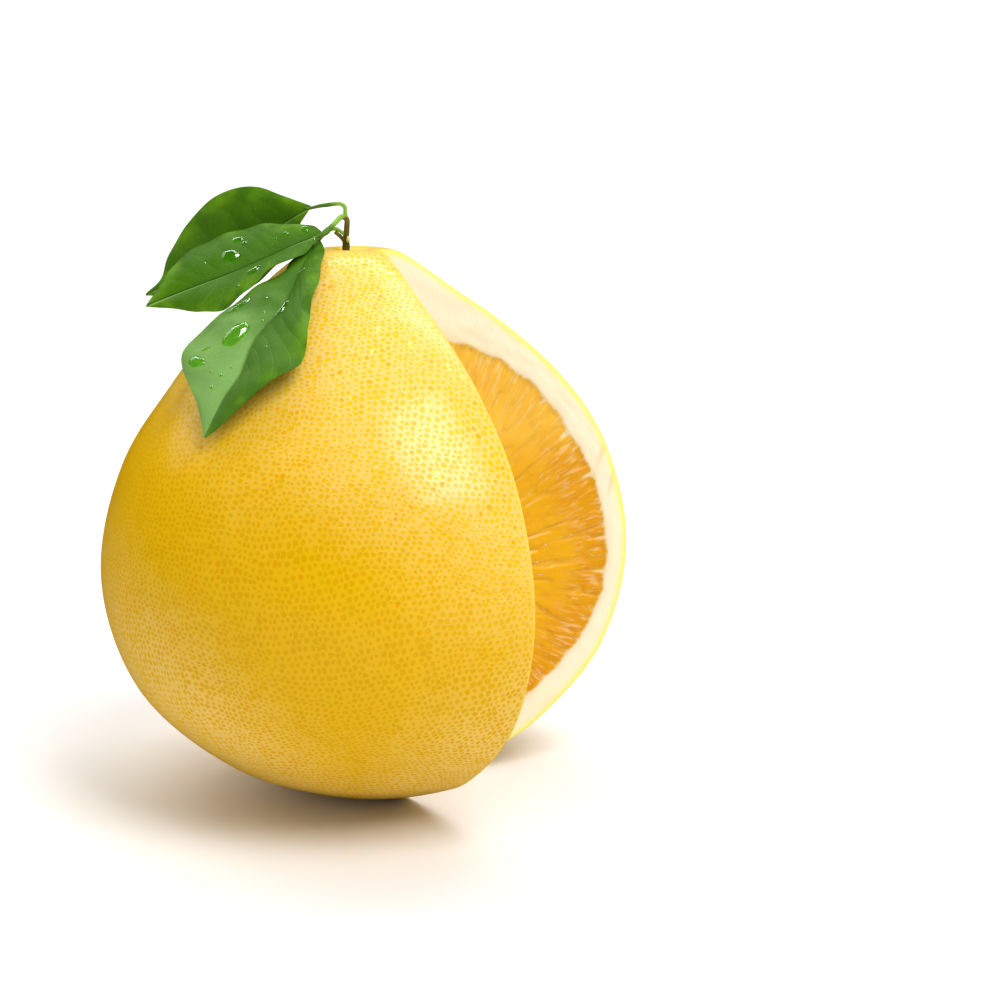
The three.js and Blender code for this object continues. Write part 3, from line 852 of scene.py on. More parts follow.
def skin_rows(soup, glands, pitch, seed):
    """The skin as rows of oil glands, with the first and last of each row on the cut edges.

    Adds each gland's size, ripeness and strength to the list, and returns the rows of (index, point).
    """
    random = np.random.default_rng(seed)
    table = skin_table()
    total = table[-1, 0]
    row_count = round(total / (pitch * ROW_SHARE))
    rows = []
    for k in range(row_count + 1):
        travel = total * k / row_count
        if k in (0, row_count):
            point, _ = skin_at(table, np.array([travel]), np.array([0.0]))
            glands.append(np.zeros((1, 3)))
            rows.append([(soup.add(point), point[0])])
            continue
        probe = np.linspace(FAR_BEARING, NEAR_BEARING, ROW_PROBES)
        spot = np.column_stack([probe * ARC, np.full(ROW_PROBES, travel * 0.5)])
        calm = smoothstep(travel, 0, CALM_ENDS) * smoothstep(total - travel, 0, CALM_ENDS)
        wave = calm * sum(height * ripple(spot, span, ROW_SEED) for height, span in ROW_WAVES)
        ring, distance = skin_at(table, travel + wave, probe)
        ends = (rounded_bearing("far", distance[0]), rounded_bearing("near", distance[-1]))
        walked = np.concatenate([[0], np.cumsum(np.linalg.norm(np.diff(ring, axis=0), axis=1))])
        drift = calm * GLAND_DRIFT[0] * ripple(spot, GLAND_DRIFT[1], DRIFT_SEED)
        drift *= smoothstep(walked, 0, CALM_EDGES) * smoothstep(walked[-1] - walked, 0, CALM_EDGES)
        count = max(3, round(walked[-1] / pitch))
        places = np.arange(count + 1) + (k % 2) * 0.5
        places = (places + random.uniform(-LOOSENESS[0], LOOSENESS[0], count + 1)) * walked[-1] / count
        places = np.clip(places[:-1], EDGE_GAP * pitch, walked[-1] - EDGE_GAP * pitch)
        bearings = np.concatenate([ends[:1], np.sort(np.interp(places, walked + drift, probe)), ends[1:]])
        slack = np.full(len(bearings), total / row_count * LOOSENESS[1])
        slack[0] = slack[-1] = 0
        course = travel + np.interp(bearings, probe, wave) + random.uniform(-1, 1, len(bearings)) * slack
        points, _ = skin_at(table, course, bearings)
        first = soup.add(points)
        neck = smoothstep(points[:, 2], *NECK)
        right = smoothstep(points[:, 0], *NECK_RIGHT)
        size = np.clip(random.normal(1, SIZE_SPREAD, len(points)), *SIZES) * (1 - NECK_SHRINK * neck * right)
        size[0] = size[-1] = 0
        ripeness = random.random(len(points)) ** RARENESS
        strength = random.uniform(*STRENGTHS, len(points)) * (1 - NECK_FADE * neck * right)
        glands.append(np.column_stack([size, ripeness, strength]))
        rows.append([(first + i, point) for i, point in enumerate(points)])
    for below, above in zip(rows, rows[1:]):
        zip_rows(soup, below, above)
    return rows


def distance_to_cut(points):
    """How far each point is from the nearer cut plane."""
    gaps = []
    for bearing in BEARINGS.values():
        offset = points[:, :2] - WEDGE_EDGE
        ahead = offset @ np.array([math.cos(bearing), math.sin(bearing)])
        aside = np.abs(offset @ np.array([-math.sin(bearing), math.cos(bearing)]))
        gaps.append(np.where(ahead > -1, aside, FAR_AWAY))
    return np.minimum(*gaps)


def down_the_column(top, bottom):
    """The heights of the points between the two ends of the pith column."""
    return top + (bottom - top) * np.linspace(0, 1, COLUMN_STEPS + 2)[1:-1]


def cut_face(soup, side, edge, axis_first):
    """The pith on one cut face, from the skin's edge and the wedge's inner edge in to the flesh.

    Returns the innermost loop of points, and their distances and heights in the face.
    """
    bearing = BEARINGS[side]
    outward = -1 if side == "far" else 1
    edge_points = np.array([point for _, point in edge])
    rho = np.linalg.norm(edge_points[:, :2] - WEDGE_EDGE, axis=1)
    wall = float(in_ring(COLUMN_RADIUS, bearing))
    aims = np.arctan2(edge_points[:, 2] - FOCUS_HEIGHT, rho - wall)
    aims = (aims - aims[0]) / (aims[-1] - aims[0]) * math.pi - math.pi / 2
    reach = pith_edge(side, aims)
    inner = np.column_stack([wall + reach * np.cos(aims), FOCUS_HEIGHT + reach * np.sin(aims)])
    axis = np.column_stack([np.zeros(COLUMN_STEPS), down_the_column(edge_points[-1, 2], edge_points[0, 2])])
    column = np.column_stack([np.full(COLUMN_STEPS, wall), down_the_column(inner[-1, 1], inner[0, 1])])
    outer = np.vstack([np.column_stack([rho, edge_points[:, 2]]), axis])
    inner = np.vstack([inner, column])
    span = np.linalg.norm(inner - outer, axis=1)
    on_skin = np.concatenate([smoothstep(rho, *EDGE_FADE), np.zeros(COLUMN_STEPS)])

    loop = [index for index, _ in edge] + [axis_first + i for i in range(COLUMN_STEPS)]
    shares = np.linspace(0, 1, FACE_RINGS - 1)[1:]
    depths = [np.full(len(outer), depth) for depth in EDGE_DEPTHS]
    depths += [EDGE_DEPTHS[1] + (span - EDGE_DEPTHS[1]) * share for share in shares]
    for ring, depth in enumerate(depths):
        part = (depth / span)[:, None]
        flat = outer * (1 - part) + inner * part
        sunk = EDGE_SINK * on_skin if ring == 0 else 0.0
        relief = 0.0
        if ring > 1:
            relief = sum(height * ripple(flat, length, seed) for height, length, seed in PITH_WAVES)
            for gap, fade in zip((depth, flat[:, 0], span - depth), PITH_FADES):
                relief = relief * smoothstep(gap, *fade)
        points = on_plane(flat[:, 0], flat[:, 1], bearing, outward * (relief - sunk))
        skin_depth = np.where(np.arange(len(outer)) < len(edge), depth, FAR_AWAY)
        skin_depth[[0, len(edge) - 1]] = FAR_AWAY
        first = soup.add(points, np.column_stack([np.zeros(len(outer)), skin_depth, part[:, 0]]))
        new = list(range(first, first + len(outer)))
        join_loops(soup, loop, new, side == "near", 1)
        loop = new
    return loop, flat


def join_loops(soup, outer, inner, turned, slot):
    """Quads between two closed loops of equal length."""
    faces = []
    for i in range(len(outer)):
        k = (i + 1) % len(outer)
        quad = (outer[i], outer[k], inner[k], inner[i])
        faces.append(quad[::-1] if turned else quad)
    soup.cover(faces, slot)


def tunnel(soup, far_loop, far_flat, near_loop, near_flat, steps, turned, slot):
    """The wall between a loop on the far face and its fellow on the near one, round the back of the fruit."""
    far_radius = from_axis(far_flat[:, 0], FAR_BEARING)
    near_radius = from_axis(near_flat[:, 0], NEAR_BEARING)
    loop = far_loop
    for k in range(1, steps + 1):
        if k == steps:
            new = near_loop
        else:
            share = k / steps
            bearing = FAR_BEARING + (NEAR_BEARING - FAR_BEARING) * share
            radius = far_radius * (1 - share) + near_radius * share
            height = far_flat[:, 1] * (1 - share) + near_flat[:, 1] * share
            first = soup.add(on_plane(in_ring(radius, bearing), height, bearing), FAR_AWAY)
            new = list(range(first, first + len(radius)))
        join_loops(soup, loop, new, turned, slot)
        loop = new


def skin_finish(settings):
    """The skin: dots of oil glands, paler patches and a bright rim along the cut. The paler patches are
    partly its own colour and partly a painted highlight and a painted sheen.
    """
    finish = Finish(
        "rind skin", Subsurface_Weight=0.06, Subsurface_Radius=(1.0, 0.6, 0.1), Subsurface_Scale=0.0015,
        Specular_IOR_Level=0.0, Coat_Roughness=0.22, Coat_IOR=1.45, IOR=1.45,
    )
    place = finish.place()
    cell, (a, b, c) = finish.attribute("cell")
    _, (size, ripe, strength) = finish.attribute("gland")
    _, (from_cut, _, _) = finish.attribute("place")

    # In a cell with three equal sides, the shares of its corners give the distance to the nearest gland.
    squares = finish.product(cell, cell)
    nearest = a.at_least(b).at_least(c)
    distance = (0.5 * squares + 0.5 - nearest).at_least(0) ** 0.5 * (settings.gland_pitch / MM)
    wobble = finish.noise(place, 0.9, 1.0) - 0.5
    radius = size * (settings.gland_radius / MM)
    gone = distance + wobble * 0.18 - radius
    dot = gone.rise(*DOT_EDGE)
    pit = gone.rise(*PIT_EDGE)

    across, _, height = finish.split(place)
    # Towards the neck and right the paler ground is partly the skin's own colour and partly a painted
    # highlight.
    risen = finish.product(place, PALE_AND_HIGHLIGHT_DIRECTION)
    patches = finish.noise(place, 34, 2.0)
    mottle = finish.noise(place, 4.5, 2.0)
    uneven = 36 * (patches - 0.5) + 20 * (mottle - 0.5)
    # Towards the left side and the foot the paler ground is a painted sheen, the reflection of floor and
    # surroundings.
    aside = finish.product(place, SHEEN_SIDE_DIRECTION)
    fallen = SHEEN_FOOT_START - height + SHEEN_FOOT_SPREAD * (across - SHEEN_FOOT_MIDDLE).size()
    low = (fallen + 0.6 * uneven).rise(*SHEEN_FOOT).at_least((aside + 0.5 * uneven).rise(*SHEEN_SIDE))
    top = (risen + uneven).rise(*PALE_AND_HIGHLIGHT_TOP)
    pale = top.at_least(low)
    ground = finish.mix(pale, settings.skin, settings.skin_pale_and_sheen)
    neck = (height + 30 * (patches - 0.5)).rise(*NECK)
    ground = finish.mix(neck * 0.8, ground, settings.skin_neck)
    # The glands pale with the painted highlight too.
    gland = finish.mix(top, settings.gland, settings.gland_pale_and_highlight)
    gland = finish.mix((ripe * 1.6).rise(0.25, 1.0) * 0.5, gland, settings.gland_ripe)
    surface = finish.mix(dot * strength, ground, gland)
    edge = (from_cut + 0.6 * (mottle - 0.5)).rise(1.5, 0.1) * 0.5
    finish.feed("Base Color", finish.mix(edge, surface, settings.rim))
    finish.feed("Roughness", 0.42 + 0.1 * mottle + 0.08 * dot)
    finish.feed("Coat Weight", 0.84 - 0.5 * dot)
    wrinkles = finish.noise(finish.stretched(place, (1, 1, 0.5)), 1.4, 2.0) * neck
    relief = (1 - pit) * 0.6 + 0.25 * finish.noise(place, 0.7, 2.0) + 0.5 * finish.noise(place, 6, 1.0)
    finish.bump(relief + wrinkles, depth=0.14)
    return finish.material


def pith_finish(settings):
    """The cut pith: soft fibres, warmer by the flesh and lemon by the skin, with its bruises."""
    finish = Finish(
        "rind pith", Subsurface_Weight=0.25, Subsurface_Radius=(1.0, 0.8, 0.5),
        Subsurface_Scale=0.003, IOR=1.4,
    )
    place = finish.place()
    _, (_, depth, share) = finish.attribute("place")
    fibres = finish.noise(finish.stretched(place, (1, 1, 0.4)), 2.2, 4.0, 0.6)
    cloud = finish.noise(place, 11, 3.0)
    warm = (share + 0.6 * (cloud - 0.5)).rise(0.7, 1.1)
    flat = finish.mix(warm * 0.8, settings.pith, settings.pith_warm)
    flat = finish.mix(fibres.rise(0.5, 0.8) * 0.3, flat, settings.pith_warm)
    for distance, height, half_length, half_width, lean, strength in BRUISES:
        centre = on_plane(distance, height, FAR_BEARING)
        turned = {"rotation_type": "AXIS_ANGLE"}
        offset = finish.node("ShaderNodeVectorMath", {"operation": "SUBTRACT"}, {0: place, 1: tuple(centre)})
        axis = (-math.sin(FAR_BEARING), math.cos(FAR_BEARING), 0.0)
        spun = finish.node("ShaderNodeVectorRotate", turned, {"Vector": offset, "Axis": axis, "Angle": lean})
        squeezed = finish.stretched(spun, (1 / half_width, 1 / half_width, 1 / half_length))
        far = finish.node("ShaderNodeVectorMath", {"operation": "LENGTH"}, {0: squeezed}, "Value")
        stain = (far + 0.7 * (fibres - 0.5)).rise(1.15, 0.25)
        flat = finish.mix(stain * strength, flat, settings.bruise)
    skin_line = (depth + 0.7 * (cloud - 0.5)).rise(3.0, 0.3)
    finish.feed("Base Color", finish.mix(skin_line * 0.9, flat, settings.lemon))
    finish.feed("Roughness", 0.62 + 0.2 * fibres)
    finish.bump(0.6 * fibres + 0.4 * finish.noise(place, 0.6, 2.0), depth=0.3)
    return finish.material


class POMELO_OT_rind(bpy.types.Operator):
    """Make the rind: the skin with its oil glands and the pith on both cut faces"""

    bl_idname = "pomelo.rind"
    bl_label = "Rind"

    def execute(self, context):
        settings = context.scene.pomelo_rind
        soup, glands = Soup(), []
        rows = skin_rows(soup, glands, settings.gland_pitch / MM, settings.seed)
        skin_faces = len(soup.faces)
        skin_points = np.vstack(soup.points)
        soup.values = [np.pad(distance_to_cut(skin_points)[:, None], ((0, 0), (0, 2)))]

        heights = down_the_column(rows[-1][0][1][2], rows[0][0][1][2])
        axis_first = soup.add(on_plane(np.zeros(COLUMN_STEPS), heights, 0.0), (0.0, FAR_AWAY, 0.0))
        far_loop, far_flat = cut_face(soup, "far", [row[0] for row in rows], axis_first)
        near_loop, near_flat = cut_face(soup, "near", [row[-1] for row in rows], axis_first)
        tunnel(soup, far_loop, far_flat, near_loop, near_flat, TUNNEL_STEPS["rind"], False, 1)

        points, faces, slots, values = soup.arrays()
        gland_values = np.vstack([*glands, np.zeros((len(points) - len(skin_points), 3))])
        cells = np.zeros((sum(len(face) for face in faces), 3))
        cells[:3 * skin_faces] = np.tile(np.eye(3), (skin_faces, 1))
        materials = [skin_finish(settings), pith_finish(settings)]
        attributes = {"place": values, "gland": gland_values}
        piece = make_piece(
            "rind_skin_and_pith", points, faces, materials, slots, attributes, {"cell": cells}, sharp=50
        )
        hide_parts("rind")
        return {"FINISHED"}


# ---------------------------------------------------------------- flesh


def sac_shape(along):
    """The width of a juice sac as a share of its full width, from its blunt inner end to its thin tail."""
    head = np.sqrt(np.clip(1 - (1 - along / SAC_HEAD) ** 2, 0, 1))
    tail = 1 - SAC_TAPER * np.clip((along - SAC_HEAD) / (1 - SAC_HEAD), 0, 1) ** SAC_TAPER_POWER
    return np.where(along < SAC_HEAD, head, tail)


def flesh_surface(side, settings):
    """The flesh on one cut face, as a grid from its focus to the pith.

    Returns the grid's aims and shares of the reach, each point's distance from the focus, how far it stands
    out of the face, how near it is to its sac's flank, its sac's tone, and the border's distance.
    """
    random = np.random.default_rng(SAC_SEEDS[side])
    width, span = settings.sac_width / MM, settings.sac_length / MM
    aims = np.linspace(-math.pi / 2, math.pi / 2, AIM_STEPS + 1)
    reach = flesh_reach(side, aims) + FLESH_OVERLAP
    shares = np.linspace(0, 1, REACH_STEPS + 1)
    distance = reach[:, None] * shares
    border = pith_edge(side, aims)[:, None]
    stand = np.full(distance.shape, FLESH_FLOOR)
    flank = np.ones(distance.shape)
    tone = np.full(distance.shape, 0.5)
    for row, end in enumerate(SAC_ROW_ENDS):
        middle = max(end - SAC_MIDDLE, SAC_INNERMOST) * FLESH_REACH
        count = max(3, round(math.pi * middle / (width * SAC_CROWDING)))
        for i in range(count):
            aim = (-0.5 + (i + 0.5 + 0.5 * (row % 2) + random.uniform(*SAC_AIMS)) / count) * math.pi
            slant = random.uniform(*SAC_SLANTS)
            outer = np.interp(aim, aims, reach) * (end + random.uniform(*SAC_ENDS))
            own_length = span * random.uniform(*SAC_LENGTHS)
            own_width = width * random.uniform(*SAC_WIDTHS)
            crest = random.uniform(*SAC_CREST)
            own_tone = random.random()
            near = np.abs(aims - aim) * max(outer, SAC_MARGIN) < own_width + SAC_MARGIN
            rows = np.flatnonzero(near)
            if not len(rows):
                continue
            low, high = rows[0], rows[-1] + 1
            along = 1 - (outer - distance[low:high]) / own_length
            inside = (along > 0) & (along < 1)
            shape = sac_shape(np.clip(along, 0, 1))
            half = 0.5 * own_width * np.maximum(shape, SAC_THINNEST)
            aside = (aims[low:high, None] - aim) * distance[low:high] - slant * (along - 0.5)
            off = np.abs(aside) / half
            inside &= off < 1
            round_over = SAC_ROUNDNESS * half * (np.sqrt(np.clip(1 - off ** 2, 0, 1)) - 1)
            tail_dip = SAC_TAIL_DIP * np.clip(along - SAC_TAIL_START, 0, 1) ** SAC_TAIL_POWER
            surface = crest - SAC_NARROWING * (1 - shape) - tail_dip + round_over
            wins = inside & (surface > stand[low:high])
            stand[low:high][wins] = surface[wins]
            flank[low:high][wins] = off[wins]
            tone[low:high][wins] = own_tone
    at_border = smoothstep(distance - border, *BORDER_FADE)
    past_border = smoothstep(distance - border, *FOOT_FADE)
    stand = stand * (1 - at_border) - BORDER_LEVEL * at_border - FOOT_LEVEL * past_border
    return aims, shares, distance, stand, flank, tone, border


def flesh_face(soup, side, settings):
    """One cut face of the flesh. Returns the loop of points round it, with their distances and heights."""
    bearing = BEARINGS[side]
    outward = -1 if side == "far" else 1
    wall = float(in_ring(COLUMN_RADIUS, bearing))
    aims, shares, distance, stand, flank, tone, border = flesh_surface(side, settings)
    if side == "far":
        strand = np.zeros(distance.shape)
        for aim, width, inner in STRANDS:
            aside = (aims[:, None] - aim - STRAND_DRIFT * (1 - shares)) * distance
            strand = np.maximum(strand, np.exp(-(aside / width) ** 2) * smoothstep(shares, inner, STRAND_END))
        flank = flank + strand
    flank = flank * (1 - smoothstep(distance - border, *MEMBRANE_FADE))
    flank = flank + RIM_PALENESS * smoothstep(distance - border, *RIM_FADE)
    rho = wall + distance * np.cos(aims)[:, None]
    height = FOCUS_HEIGHT + distance * np.sin(aims)[:, None]
    surface = on_plane(rho, height, bearing, outward * stand).reshape(*distance.shape, 3)
    depth = distance / border
    round_focus = np.broadcast_to(aims[:, None] * ARC, distance.shape)
    face_apart = np.full(distance.shape, outward * GRAIN_APART)
    values = np.stack([flank, tone, depth, round_focus, distance, face_apart], axis=-1)
    focus = soup.add(surface[:1, 0], values[:1, 0])
    first = soup.add(surface[:, 1:].reshape(-1, 3), values[:, 1:].reshape(-1, 6))
    shreds(soup, side, surface)
    faces = grid_faces(AIM_STEPS + 1, REACH_STEPS, first)
    faces += [(focus, first + i * REACH_STEPS, first + (i + 1) * REACH_STEPS) for i in range(AIM_STEPS)]
    soup.cover([face[::-1] for face in faces] if side == "near" else faces)
    edge = list(range(REACH_STEPS))
    edge += [i * REACH_STEPS + REACH_STEPS - 1 for i in range(1, AIM_STEPS + 1)]
    edge += [AIM_STEPS * REACH_STEPS + j for j in range(REACH_STEPS - 2, -1, -1)]
    flat = np.column_stack([rho[:, 1:].ravel()[edge], height[:, 1:].ravel()[edge]])
    return [first + k for k in edge] + [focus], np.vstack([flat, (rho[0, 0], height[0, 0])])


def grid_at(grid, rows, columns):
    """The values at places between the points of a grid."""
    i, j = rows.astype(int), columns.astype(int)
    f, g = (rows - i)[:, None], (columns - j)[:, None]
    start = grid[i, j] * (1 - g) + grid[i, j + 1] * g
    end = grid[i + 1, j] * (1 - g) + grid[i + 1, j + 1] * g
    return start * (1 - f) + end * f


def shreds(soup, side, surface):
    """Thin pale shreds of membrane that lie on the cut sacs, most of them near the pith."""
    random = np.random.default_rng(SHRED_SEEDS[side])
    rows, columns = surface.shape[:2]
    bearing = BEARINGS[side]
    normal = np.array([-math.sin(bearing), math.cos(bearing), 0]) * (-1 if side == "far" else 1)
    lifts = np.array(SHRED_LIFTS)[:, None] * normal
    parts = np.linspace(0, 1, len(lifts))
    for _ in range(SHREDS):
        row = random.uniform(*SHRED_ROWS) * rows
        start = 1 - random.uniform(*SHRED_STARTS) ** SHRED_GATHERING
        length = random.uniform(*SHRED_LENGTHS)
        lean = random.normal(0, SHRED_LEAN)
        width = random.uniform(*SHRED_WIDTHS)
        shares = start - length * parts
        route = grid_at(surface, row + lean * parts * (1 + parts), shares * (columns - SHRED_EDGE))
        radii = [SHRED_TIP, width, 0.8 * width, SHRED_TIP]
        swept(soup, route + lifts, radii, SHRED_STEPS, SHRED_SIDES, values=SHRED_VALUES)


def flesh_finish(settings):
    """The juice sacs, their membranes, and the pale strands and tufts that run in from the pith."""
    finish = Finish(
        "juice sacs", Subsurface_Weight=0.45, Subsurface_Radius=(1.0, 0.75, 0.3), Subsurface_Scale=0.003,
        Specular_IOR_Level=0.2, Coat_Weight=0.25, Coat_Roughness=0.1, IOR=1.38,
    )
    place = finish.place()
    _, (flank, tone, depth) = finish.attribute("sac")
    grain, _ = finish.attribute("grain")
    cloud = finish.noise(place, 9, 2.0)
    fine = finish.noise(place, 1.1, 3.0, 0.6)
    streak = finish.noise(finish.stretched(grain, (1, 0.22, 1)), 1.3, 3.0, 0.55)
    thread = finish.noise(finish.stretched(grain, (1, 0.16, 1)), 0.5, 2.0)
    deep = (0.2 * tone + 0.6 * cloud + 0.4 * streak + 0.5 * depth.rise(0.7, 0.95)).rise(0.55, 1.25)
    _, _, height = finish.split(place)
    upper = (height + 14 * (cloud - 0.5)).rise(*PALE_JUICE)
    juice = finish.mix(upper, settings.juice, settings.juice_pale)
    juice = finish.mix(deep * (1 - 0.7 * upper), juice, settings.juice_deep)
    juice = finish.mix(thread.rise(0.55, 0.8) * 0.25, juice, settings.membrane)
    wisp = finish.noise(finish.stretched(grain, (1, 0.18, 1)), 1.0, 2.0)
    tuft = (wisp + 0.4 * (cloud - 0.5)).rise(0.5, 0.7) * depth.rise(0.74, 1.0)
    juice = finish.mix(tuft * 0.45, juice, settings.strand)
    skin = (flank + 0.7 * (fine - 0.5)).rise(0.6, 1.1)
    body = finish.mix(skin * (0.1 + 0.25 * streak.rise(0.4, 0.75)), juice, settings.membrane)
    pale = (flank + 0.4 * (fine - 0.5)).rise(1.2, 1.8)
    finish.feed("Base Color", finish.mix(pale, body, settings.strand))
    finish.feed("Roughness", 0.22 + 0.25 * fine)
    finish.bump(0.5 * fine + 0.4 * thread + 0.2 * streak, depth=0.24)
    return finish.material


class POMELO_OT_flesh(bpy.types.Operator):
    """Make the flesh: rows of juice sacs on both cut faces, closed round the back"""

    bl_idname = "pomelo.flesh"
    bl_label = "Flesh"

    def execute(self, context):
        settings = context.scene.pomelo_flesh
        soup = Soup(6)
        far_loop, far_flat = flesh_face(soup, "far", settings)
        near_loop, near_flat = flesh_face(soup, "near", settings)
        tunnel(soup, far_loop, far_flat, near_loop, near_flat, TUNNEL_STEPS["flesh"], True, 0)
        points, faces, slots, values = soup.arrays()
        attributes = {"sac": values[:, :3], "grain": values[:, 3:]}
        piece = make_piece("flesh_sacs", points, faces, [flesh_finish(settings)], point_values=attributes)
        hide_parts("flesh")
        return {"FINISHED"}


# ---------------------------------------------------------------- twig, stalks and leaves


def swept(soup, route, radii, steps, sides, slot=0, uneven=0.0, seed=1, values=None):
    """A closed round rod along a route. Its radii change along it, and values can be given for each step."""
    path = smooth_route(route, steps)
    ahead = unit(np.gradient(path, axis=0))
    aside = unit(np.cross(ahead[0], ROD_SIDE))
    sizes = np.interp(np.linspace(0, 1, steps + 1), np.linspace(0, 1, len(radii)), radii)
    rings = []
    turns = np.linspace(0, 2 * math.pi, sides, endpoint=False)
    for centre, forward, size in zip(path, ahead, sizes):
        aside = unit(aside - forward * (aside @ forward))
        third = np.cross(forward, aside)
        ring = centre + size * (np.outer(np.cos(turns), aside) + np.outer(np.sin(turns), third))
        rings.append(ring)
    points = np.vstack(rings)
    centres = np.repeat(path, sides, axis=0)
    points = centres + (points - centres) * (1 + uneven * ripple(points, BARK_GRAIN, seed))[:, None]
    if values is not None:
        values = np.broadcast_to(values, (steps + 1, soup.width))
        values = np.vstack([np.repeat(values, sides, axis=0), values[:1], values[-1:]])
    first = soup.add(np.vstack([points, path[:1], path[-1:]]), values)
    soup.cover(grid_faces(steps + 1, sides, first, around=True), slot)
    start, end = first + len(points), first + len(points) + 1
    last = first + steps * sides
    soup.cover([(start, first + (i + 1) % sides, first + i) for i in range(sides)], slot)
    soup.cover([(end, last + i, last + (i + 1) % sides) for i in range(sides)], slot)


def leaf_sheet(form):
    """The middle sheet of a leaf: points in rows from base to tip, and what its veins need.

    The veins hold the distance off the rib, the phase of the side veins and the distance off the edge. The
    course holds the share of the way to the tip and the part of the way out to the edge.
    """
    rib, high, low = (smooth_route(form[side], LEAF_ROWS) for side in ("midrib", "upper", "lower"))
    share = np.linspace(0, 1, LEAF_ROWS + 1)[:, None]
    part = np.linspace(-1, 1, 2 * LEAF_COLUMNS + 1)[None, :]
    reach = np.abs(part)
    margin = np.where(part[..., None] < 0, low[:, None], high[:, None])
    normal = unit(np.cross(high - low, np.gradient(rib, axis=0)))
    fade = np.sin(math.pi * share)
    ripples = form["wave"] * reach * np.sin(2 * math.pi * LEAF_WAVES * share + LEAF_WAVE_TURN * part)
    lift = fade * (form["swell"] * np.sin(math.pi * reach) + ripples)
    flat = rib[:, None] * (1 - reach[..., None]) + margin * reach[..., None]
    width = np.linalg.norm(margin - rib[:, None], axis=-1)
    share_grid, part_grid = np.broadcast_arrays(share, part)
    spots = np.column_stack([share_grid.ravel(), part_grid.ravel()]) * VEIN_WANDER_SCALE
    uneven = VEIN_WANDER * ripple(spots, VEIN_WANDER_LENGTH, VEIN_SEED)
    bend = VEIN_LEAN[0] * reach + VEIN_LEAN[1] * reach ** 2
    phase = form["veins"] * (share - bend) + np.where(part < 0, 0.5, 0.0) + uneven.reshape(share_grid.shape)
    quilt = np.abs(np.sin(math.pi * phase)) ** QUILT_POWER
    body = smoothstep(width * reach, *QUILT_START) * (1 - smoothstep(reach, *QUILT_END))
    groove = np.exp(-(width * reach / GROOVE_WIDTH) ** 2)
    above, below = form["quilting"]
    quilting = below + (above - below) * smoothstep(part, -0.1, 0.1)
    lift = lift + fade * (quilting * quilt * body - GROOVE_DEPTH * groove)
    points = flat + lift[..., None] * normal[:, None]
    veins = np.stack([width * part_grid, phase, width * (1 - reach)], axis=-1)
    course = np.stack([share_grid, part_grid, np.zeros(share_grid.shape)], axis=-1)
    return points, veins, course


def sheet_normals(points):
    """The directions that stand square on a sheet of points."""
    down = np.gradient(points, axis=0)
    side = np.gradient(points, axis=1)
    return unit(np.cross(side, down))


def leaf_finish(name, settings, form):
    """A leaf's upper side; each half goes from one share of painted sheen at its base to another at its tip,
    and the rib's groove has painted shade with a painted highlight on its lit edge.
    """
    finish = Finish(
        name, Subsurface_Weight=0.08, Subsurface_Radius=(0.3, 0.8, 0.1), Subsurface_Scale=0.001,
        Specular_IOR_Level=0.1, Coat_Weight=form["gloss"], Coat_Roughness=0.3,
    )
    place = finish.place()
    _, (off_rib, phase, off_edge) = finish.attribute("veins")
    _, (share, part, _) = finish.attribute("course")
    cloud = finish.noise(place, 8, 3.0)
    fine = finish.noise(place, 0.8, 3.0, 0.6)
    ahead = (share + 0.25 * (cloud - 0.5)).rise(0.25, 0.75)
    # Painted sheen: each half mixes from the dark green to the light green, which stands for the sky's
    # reflection.
    low, high = (base + (tip - base) * ahead for base, tip in form["sheen_shares"])
    tone = low + (high - low) * part.rise(-0.05, 0.05)
    surface = finish.mix(tone, settings.dark, settings.light)
    bright = off_edge.rise(5.5, 0.5) * cloud.rise(0.4, 0.65) * (1 - tone)
    surface = finish.mix(bright * 0.6, surface, settings.fresh)
    dim = (cloud + 0.3 * fine).rise(0.9, 0.5) * 0.3 * (1 - tone)
    surface = finish.mix(dim, surface, settings.deep)
    side_vein = ((phase.fraction() - 0.5).size() * -2 + 1) + 0.1 * (fine - 0.5)
    side_line = side_vein.rise(0.13, 0.02) * off_edge.rise(0.4, 2.0) * (0.25 + 0.75 * part.rise(0.1, -0.1))
    # Painted shade in the rib's groove, and a painted highlight along its lit lower edge.
    groove = off_rib.size().rise(0.45, 0.15)
    lit_rib_highlight = (off_rib + 0.5).size().rise(0.35, 0.1)
    specks = finish.noise(place, 0.4, 0.0).rise(0.66, 0.78)
    pale = (side_line * form["vein_strength"]).at_least(0.12 * specks)
    surface = finish.mix(pale, surface, settings.vein)
    surface = finish.mix(groove * form["rib"], surface, settings.deep)
    surface = finish.mix(lit_rib_highlight * (0.6 * form["rib"]), surface, settings.vein)
    finish.feed("Base Color", surface)
    finish.feed("Roughness", 0.4 + 0.18 * fine)
    to_edge = {"feature": "DISTANCE_TO_EDGE"}
    cells = finish.node("ShaderNodeTexVoronoi", to_edge, {"Vector": place, "Scale": 0.9})
    relief = 0.45 * (1 - side_line) + 0.15 * cells.rise(0.0, 0.12) + 0.2 * fine
    finish.bump(relief + 0.5 * (1 - groove * form["rib"]), depth=0.14)
    return finish.material


